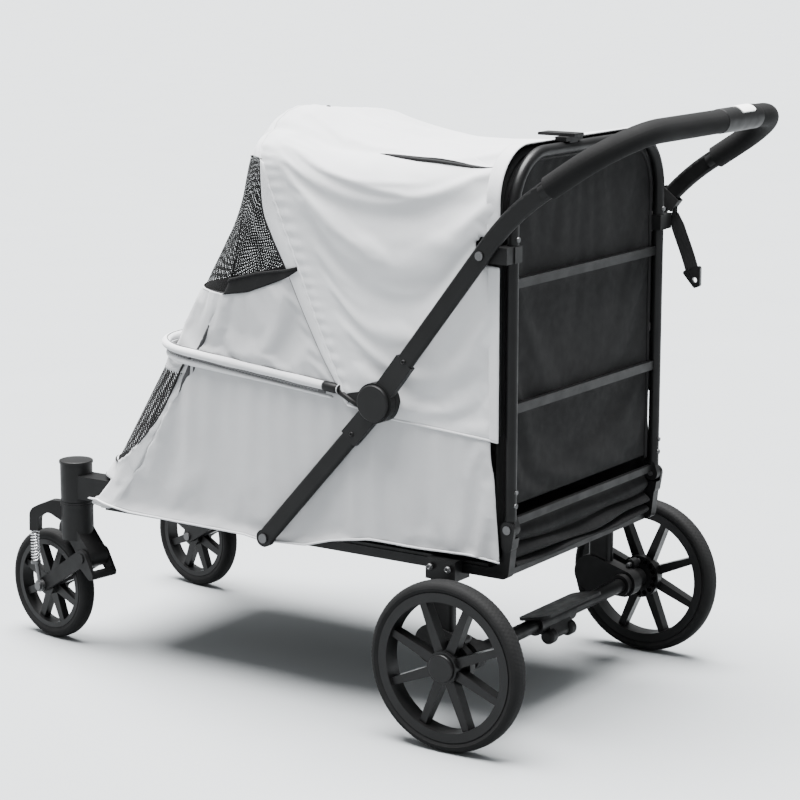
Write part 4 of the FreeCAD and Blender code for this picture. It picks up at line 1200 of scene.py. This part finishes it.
def gusset_rows():
    """Black strip between the hood's hoop and the back panel."""
    outer = arch_line(243, ARCH_TOP + 1, 93, 330, 36, 200)
    inner = arch_line(ARCH_X - 13, ARCH_TOP - 12, 80, 330, ARCH_Y - 11, 200)
    rows = []
    for t in np.linspace(0, 1, 7):
        line = outer * (1 - t) + inner * t
        line[:, 1] -= 4.0 * math.sin(math.pi * t)
        rows.append(line)
    return np.array(rows)


gusset_grid = gusset_rows()
pucker = 1.2 * bumpy(gusset_grid, 60, 61) * edge_share(gusset_grid.shape[:2], 2)
gusset_grid += normals(gusset_grid) * pucker[..., None]
gusset = cloth_piece("rear_gusset", gusset_grid, MATERIALS["fabric_black"], body="rear_frame")
declared(gusset, gusset_grid)
thickened(gusset, CLOTH_THICK)


def liner_rows():
    """Black cloth bunched in three hanging folds between the lowest crossbar and the floor frame."""
    profile = smooth_line(
        [(44, 350), (52, 340), (57, 330), (50, 321), (45, 317), (54, 312), (60, 303), (52, 296),
         (46, 293), (55, 290), (61, 285), (54, 279), (44, 278)],
        64,
    )
    columns = np.linspace(-1, 1, 90)
    rows = []
    for k, (y, z) in enumerate(profile):
        t = k / (len(profile) - 1)
        droop = 9.0 * math.sin(math.pi * t) * (1 - columns**2)
        wave = 2.4 * np.sin(columns * 5.3 + t * 9.0) * math.sin(math.pi * t)
        swell = 2.0 * np.sin(columns * 8.1 + t * 5.0 + 1.0) * math.sin(math.pi * t)
        rows.append(np.column_stack([columns * 222, y + swell, z - droop + wave + 4.0]))
    return np.array(rows)


liner_grid = liner_rows()
liner = cloth_piece("folded_liner", liner_grid, MATERIALS["fabric_black"])
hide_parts("liner_roll")
declared(liner, liner_grid)
thickened(liner, BLACK_THICK)
collapse(liner)

# ---------------------------------------------------------------- floor cushion


def cushion_piece():
    """Filled pad with sewn channels across it."""
    low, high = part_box("floor_cushion")
    x1 = high[0]
    y0, y1 = low[1], high[1]
    z0, z1 = low[2], high[2]
    n, m = 110, 70
    top = []
    for i in range(n):
        for j in range(m):
            u = i / (n - 1)
            v = j / (m - 1)
            y = y0 + (y1 - y0) * u
            x = -x1 + 2 * x1 * v
            edge = min(u, 1 - u) * (y1 - y0)
            side = min(v, 1 - v) * 2 * x1
            crown = (1 - math.exp(-edge / 0.012)) * (1 - math.exp(-side / 0.012))
            channel = abs(math.sin(u * math.pi * 6)) ** 0.35
            round_in = 0.008 * (1 - crown)
            fill = 0.35 + 0.65 * crown * (0.55 + 0.45 * channel)
            top.append((x * (1 - round_in), y, z0 + (z1 - z0) * fill))
    bottom = [(x, y, z0) for x, y, _ in top]
    faces = grid_faces(n, m)
    count = n * m
    faces += [tuple(count + i for i in face[::-1]) for face in grid_faces(n, m)]
    border = [(0, j) for j in range(m)] + [(i, m - 1) for i in range(1, n)]
    border += [(n - 1, j) for j in range(m - 2, -1, -1)] + [(i, 0) for i in range(n - 2, 0, -1)]
    ring = [i * m + j for i, j in border]
    for k, a in enumerate(ring):
        b = ring[(k + 1) % len(ring)]
        faces.append((a, b, count + b, count + a))
    piece = new_piece("floor_pad", top + bottom, faces, MATERIALS["fabric_black"], "chassis",
                      [(x, y) for x, y, _ in top + bottom])
    clean(piece)
    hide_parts("floor_cushion")


cushion_piece()

# ---------------------------------------------------------------- wheels, springs and fasteners


def revolved(name, profile, segments, origin, axis, material, body, twist=None):
    """Surface of revolution; profile is (along axis, radius) in metres, twist(k, i) changes the radius."""
    axis = Vector(axis).normalized()
    side = axis.orthogonal().normalized()
    other = axis.cross(side)
    vertices = []
    for k in range(segments):
        angle = 2 * math.pi * k / segments
        out = side * math.cos(angle) + other * math.sin(angle)
        for i, (a, r) in enumerate(profile):
            change = twist(k, i) if twist else 0.0
            vertices.append(Vector(origin) + axis * a + out * (r + change))
    m = len(profile)
    faces = []
    for k in range(segments):
        after = (k + 1) % segments
        for i in range(m - 1):
            faces.append((k * m + i, k * m + i + 1, after * m + i + 1, after * m + i))
    return new_piece(name, vertices, faces, material, body)


def joint_of(name):
    return next(j for j in frame["joints"] if j["name"] == name)


def tyre_piece(place, blocks, rim_r, outer_r, half, block):
    """Tyre with staggered tread blocks across its crown; radii, half width and block depth in metres."""
    joint = joint_of("roll_" + place)
    body = "wheel_" + place
    end, label = place.split("_")
    bead = half - 0.003
    points = [(-bead, rim_r), (-half + 0.0008, rim_r + 0.004), (-half, rim_r + 0.008), (-half, outer_r - 0.012)]
    crown = []
    for t in np.linspace(-1, 1, 15):
        a = half * math.sin(t * math.pi / 2) * 0.985
        r = outer_r - 0.0105 * (1 - math.cos(t * math.pi / 2)) ** 1.35
        crown.append((a, r))
    points += crown
    points += [(half, outer_r - 0.012), (half, rim_r + 0.008), (half - 0.0008, rim_r + 0.004), (bead, rim_r)]
    first, last = 4, 4 + len(crown)

    def tread(k, i):
        if not first < i < last - 1:
            return 0.0
        lane = (i - first) // 2
        phase = (k + (2 if lane % 2 else 0)) % 4
        gap = phase == 3 or (i - first) % 2 == 0 and (i - first) not in (0, len(crown) - 1)
        return -block if gap else 0.0

    piece = revolved(
        body + "_tread", points, blocks * 4, Vector(joint["pos_m"]), joint["axis"],
        MATERIALS["tyre_black"], body, tread,
    )
    clean(piece)
    soften = piece.modifiers.new("soften", "SUBSURF")
    soften.levels = 1
    soften.render_levels = 1
    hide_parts(f"{end}_tyre_{label}")


for label in ("left", "right"):
    tyre_piece("rear_" + label, 118, rim_r=0.1215, outer_r=0.1398, half=0.0172, block=0.0009)
    tyre_piece("front_" + label, 86, rim_r=0.0819, outer_r=0.1013, half=0.0149, block=0.0008)


def coil(name, node, body):
    """Coil spring in place of the plain tube."""
    low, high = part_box(node)
    x, y = (low[0] + high[0]) / 2, (low[1] + high[1]) / 2
    z0, z1 = low[2], high[2]
    turns = 10
    wire = 0.0014
    radius = 0.0071
    points = []
    for k in range(turns * 22 + 1):
        t = k / (turns * 22)
        angle = 2 * math.pi * turns * t
        height = z0 + wire + (z1 - z0 - 2 * wire) * t
        points.append((x + radius * math.cos(angle), y + radius * math.sin(angle), height))
    piece = tube(name, points, wire, MATERIALS["spring_chrome"], body, sides=8, metric=1.0)
    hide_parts(node)
    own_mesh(piece)


for label in ("left", "right"):
    coil("coil_" + label, "caster_spring_" + label, "caster_" + label)


def button_head(name, point, axis, radius, body, material="frame_black"):
    """Domed screw head with a hexagon socket."""
    h = radius * 0.55
    socket = radius * 0.42
    profile = [(-h * 0.4, radius), (0.0, radius), (h * 0.5, radius * 0.93), (h * 0.85, radius * 0.7)]
    profile += [(h, socket * 1.15), (h * 0.95, socket), (h * 0.25, socket * 0.95), (h * 0.25, 0.00001)]
    revolved(name, profile, 24, metres([point])[0], axis, MATERIALS[material], body)


for sign, label in ((1, "left"), (-1, "right")):
    out = (sign, 0, 0)
    button_head("handle_rivet_" + label, (sign * 283.0, 27, 789), out, 0.0055, "handle")
    button_head("cover_screw_" + label, (sign * 283.3, -113.5, 608.6), out, 0.0042, "handle")
    button_head("base_screw_" + label, (sign * 269.2, -224.0, 476.3), out, 0.0042, "lower_arms")
    for k, height in enumerate((390.0, 812.0)):
        place = (sign * ARCH_X, 69.2, height)
        button_head(f"arch_screw_{k}_{label}", place, (0, 1, 0), 0.0045, "rear_frame", "steel")
    for k, offset in enumerate((-17.0, 17.0)):
        place = (sign * 274.0, -52 + offset, 279)
        button_head(f"leg_screw_{k}_{label}", place, out, 0.0058, "chassis", "steel")

# ---------------------------------------------------------------- tether


TETHER_WIDTH = 0.025
TETHER_LENGTH = 0.112
TETHER_THICK = 0.0018
TETHER_ROWS = 40
TETHER_COLUMNS = 15


def tether_piece():
    """Ribbed webbing from the loop on the handle to the hook."""
    top = Vector(joint_of("tether_swing")["pos_m"])
    lean = math.radians(21)
    down = Vector((0, math.sin(lean), -math.cos(lean)))
    across = Vector((0, math.cos(lean), math.sin(lean)))
    rows = []
    for t in np.linspace(0, 1, TETHER_ROWS):
        width = TETHER_WIDTH / 2 * (0.62 + 0.38 * min(1.0, t * 5))
        bow = 0.0012 * math.sin(t * 7)
        row = []
        for s in np.linspace(-1, 1, TETHER_COLUMNS):
            rib = 0.0003 * math.cos(s * 14)
            p = top + down * (t * TETHER_LENGTH) + across * (s * width) + Vector((bow + rib, 0, 0))
            row.append(tuple(p))
        rows.append(row)
    rows = np.array(rows)
    uvs = [
        (j / (TETHER_COLUMNS - 1) * TETHER_WIDTH, i / (TETHER_ROWS - 1) * TETHER_LENGTH)
        for i in range(TETHER_ROWS) for j in range(TETHER_COLUMNS)
    ]
    piece = new_piece(
        "tether_webbing", rows.reshape(-1, 3), grid_faces(TETHER_ROWS, TETHER_COLUMNS),
        MATERIALS["webbing_black"], "tether", uvs,
    )
    clean(piece)
    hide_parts("tether_strap")
    thickened(piece, TETHER_THICK, levels=0)


tether_piece()

# ---------------------------------------------------------------- CAD nodes

for entry in frame["record"]["subparts"]:
    node = frame["nodes"][entry["node"]]
    node.data.materials.clear()
    node.data.materials.append(MATERIALS[entry["material_slot"]])
    if node.hide_render:
        continue
    merge = node.modifiers.new("flatten", "DECIMATE")
    merge.decimate_type = "DISSOLVE"
    merge.angle_limit = math.radians(1.5)
    bevel = node.modifiers.new("edges", "BEVEL")
    bevel.width = 0.0007
    bevel.segments = 2
    bevel.limit_method = "ANGLE"
    bevel.angle_limit = math.radians(35)
    bevel.use_clamp_overlap = True
    bevel.harden_normals = False

# ---------------------------------------------------------------- floor, light and camera


def floor_material():
    material, tree, shader = new_material("pale_floor", (0.235, 0.242, 0.247), 0.9, shine=0.0)
    space = coordinates(tree, "Object")
    tones = [(0.3, (0.232, 0.2415, 0.247)), (0.7, (0.238, 0.2475, 0.253))]
    graded(tree, shader, "Base Color", noise(tree, space, 3.0), tones)
    return material


def placed(name, data):
    """A new object in the scene."""
    thing = bpy.data.objects.new(name, data)
    bpy.context.collection.objects.link(thing)
    return thing


FLOOR_REACH = 60.0
floor_mesh = bpy.data.meshes.new("floor")
floor_corners = [(x * FLOOR_REACH, y * FLOOR_REACH, 0) for x, y in ((-1, -1), (1, -1), (1, 1), (-1, 1))]
floor_mesh.from_pydata(floor_corners, [], [(0, 1, 2, 3)])
floor_mesh.materials.append(floor_material())
placed("floor", floor_mesh)


def soft_sun(name, direction, strength, angle):
    light = bpy.data.lights.new(name, "SUN")
    light.energy = strength
    light.angle = math.radians(angle)
    placed(name, light).rotation_euler = Vector(direction).to_track_quat("-Z", "Y").to_euler()


soft_sun("overhead", (0.0, 0.10, -1.0), 33.0, 50)
soft_sun("front_left", (-0.60, 1.1, -0.7), 0.5, 40)

world = bpy.data.worlds.new("studio")
world.use_nodes = True
tree = world.node_tree
direction = tree.nodes.new("ShaderNodeTexCoord")
split = tree.nodes.new("ShaderNodeSeparateXYZ")
tree.links.new(direction.outputs["Generated"], split.inputs["Vector"])
height = maths(tree, "MAXIMUM", split.outputs["Z"], 0.0)
glow = maths(tree, "ADD", maths(tree, "MULTIPLY", maths(tree, "POWER", height, 1.6), 1.6), 0.26)
background = tree.nodes["Background"]
background.inputs["Color"].default_value = (0.955, 0.985, 1.0, 1)
tree.links.new(glow, background.inputs["Strength"])
bpy.context.scene.world = world

# camera's place and aim, in millimetres from the rear axle
CAMERA_AT = (3455.4, 2008.0, 1319.3)
CAMERA_AIM = (44.2, -280.0, 489.0)
camera_data = bpy.data.cameras.new("camera")
camera_data.lens = 110.5
camera_data.sensor_width = 36.0
camera = placed("camera", camera_data)
place, target = metres([CAMERA_AT, CAMERA_AIM])
camera.location = place
camera.rotation_euler = (Vector(target) - Vector(place)).to_track_quat("-Z", "Y").to_euler()
bpy.context.scene.camera = camera
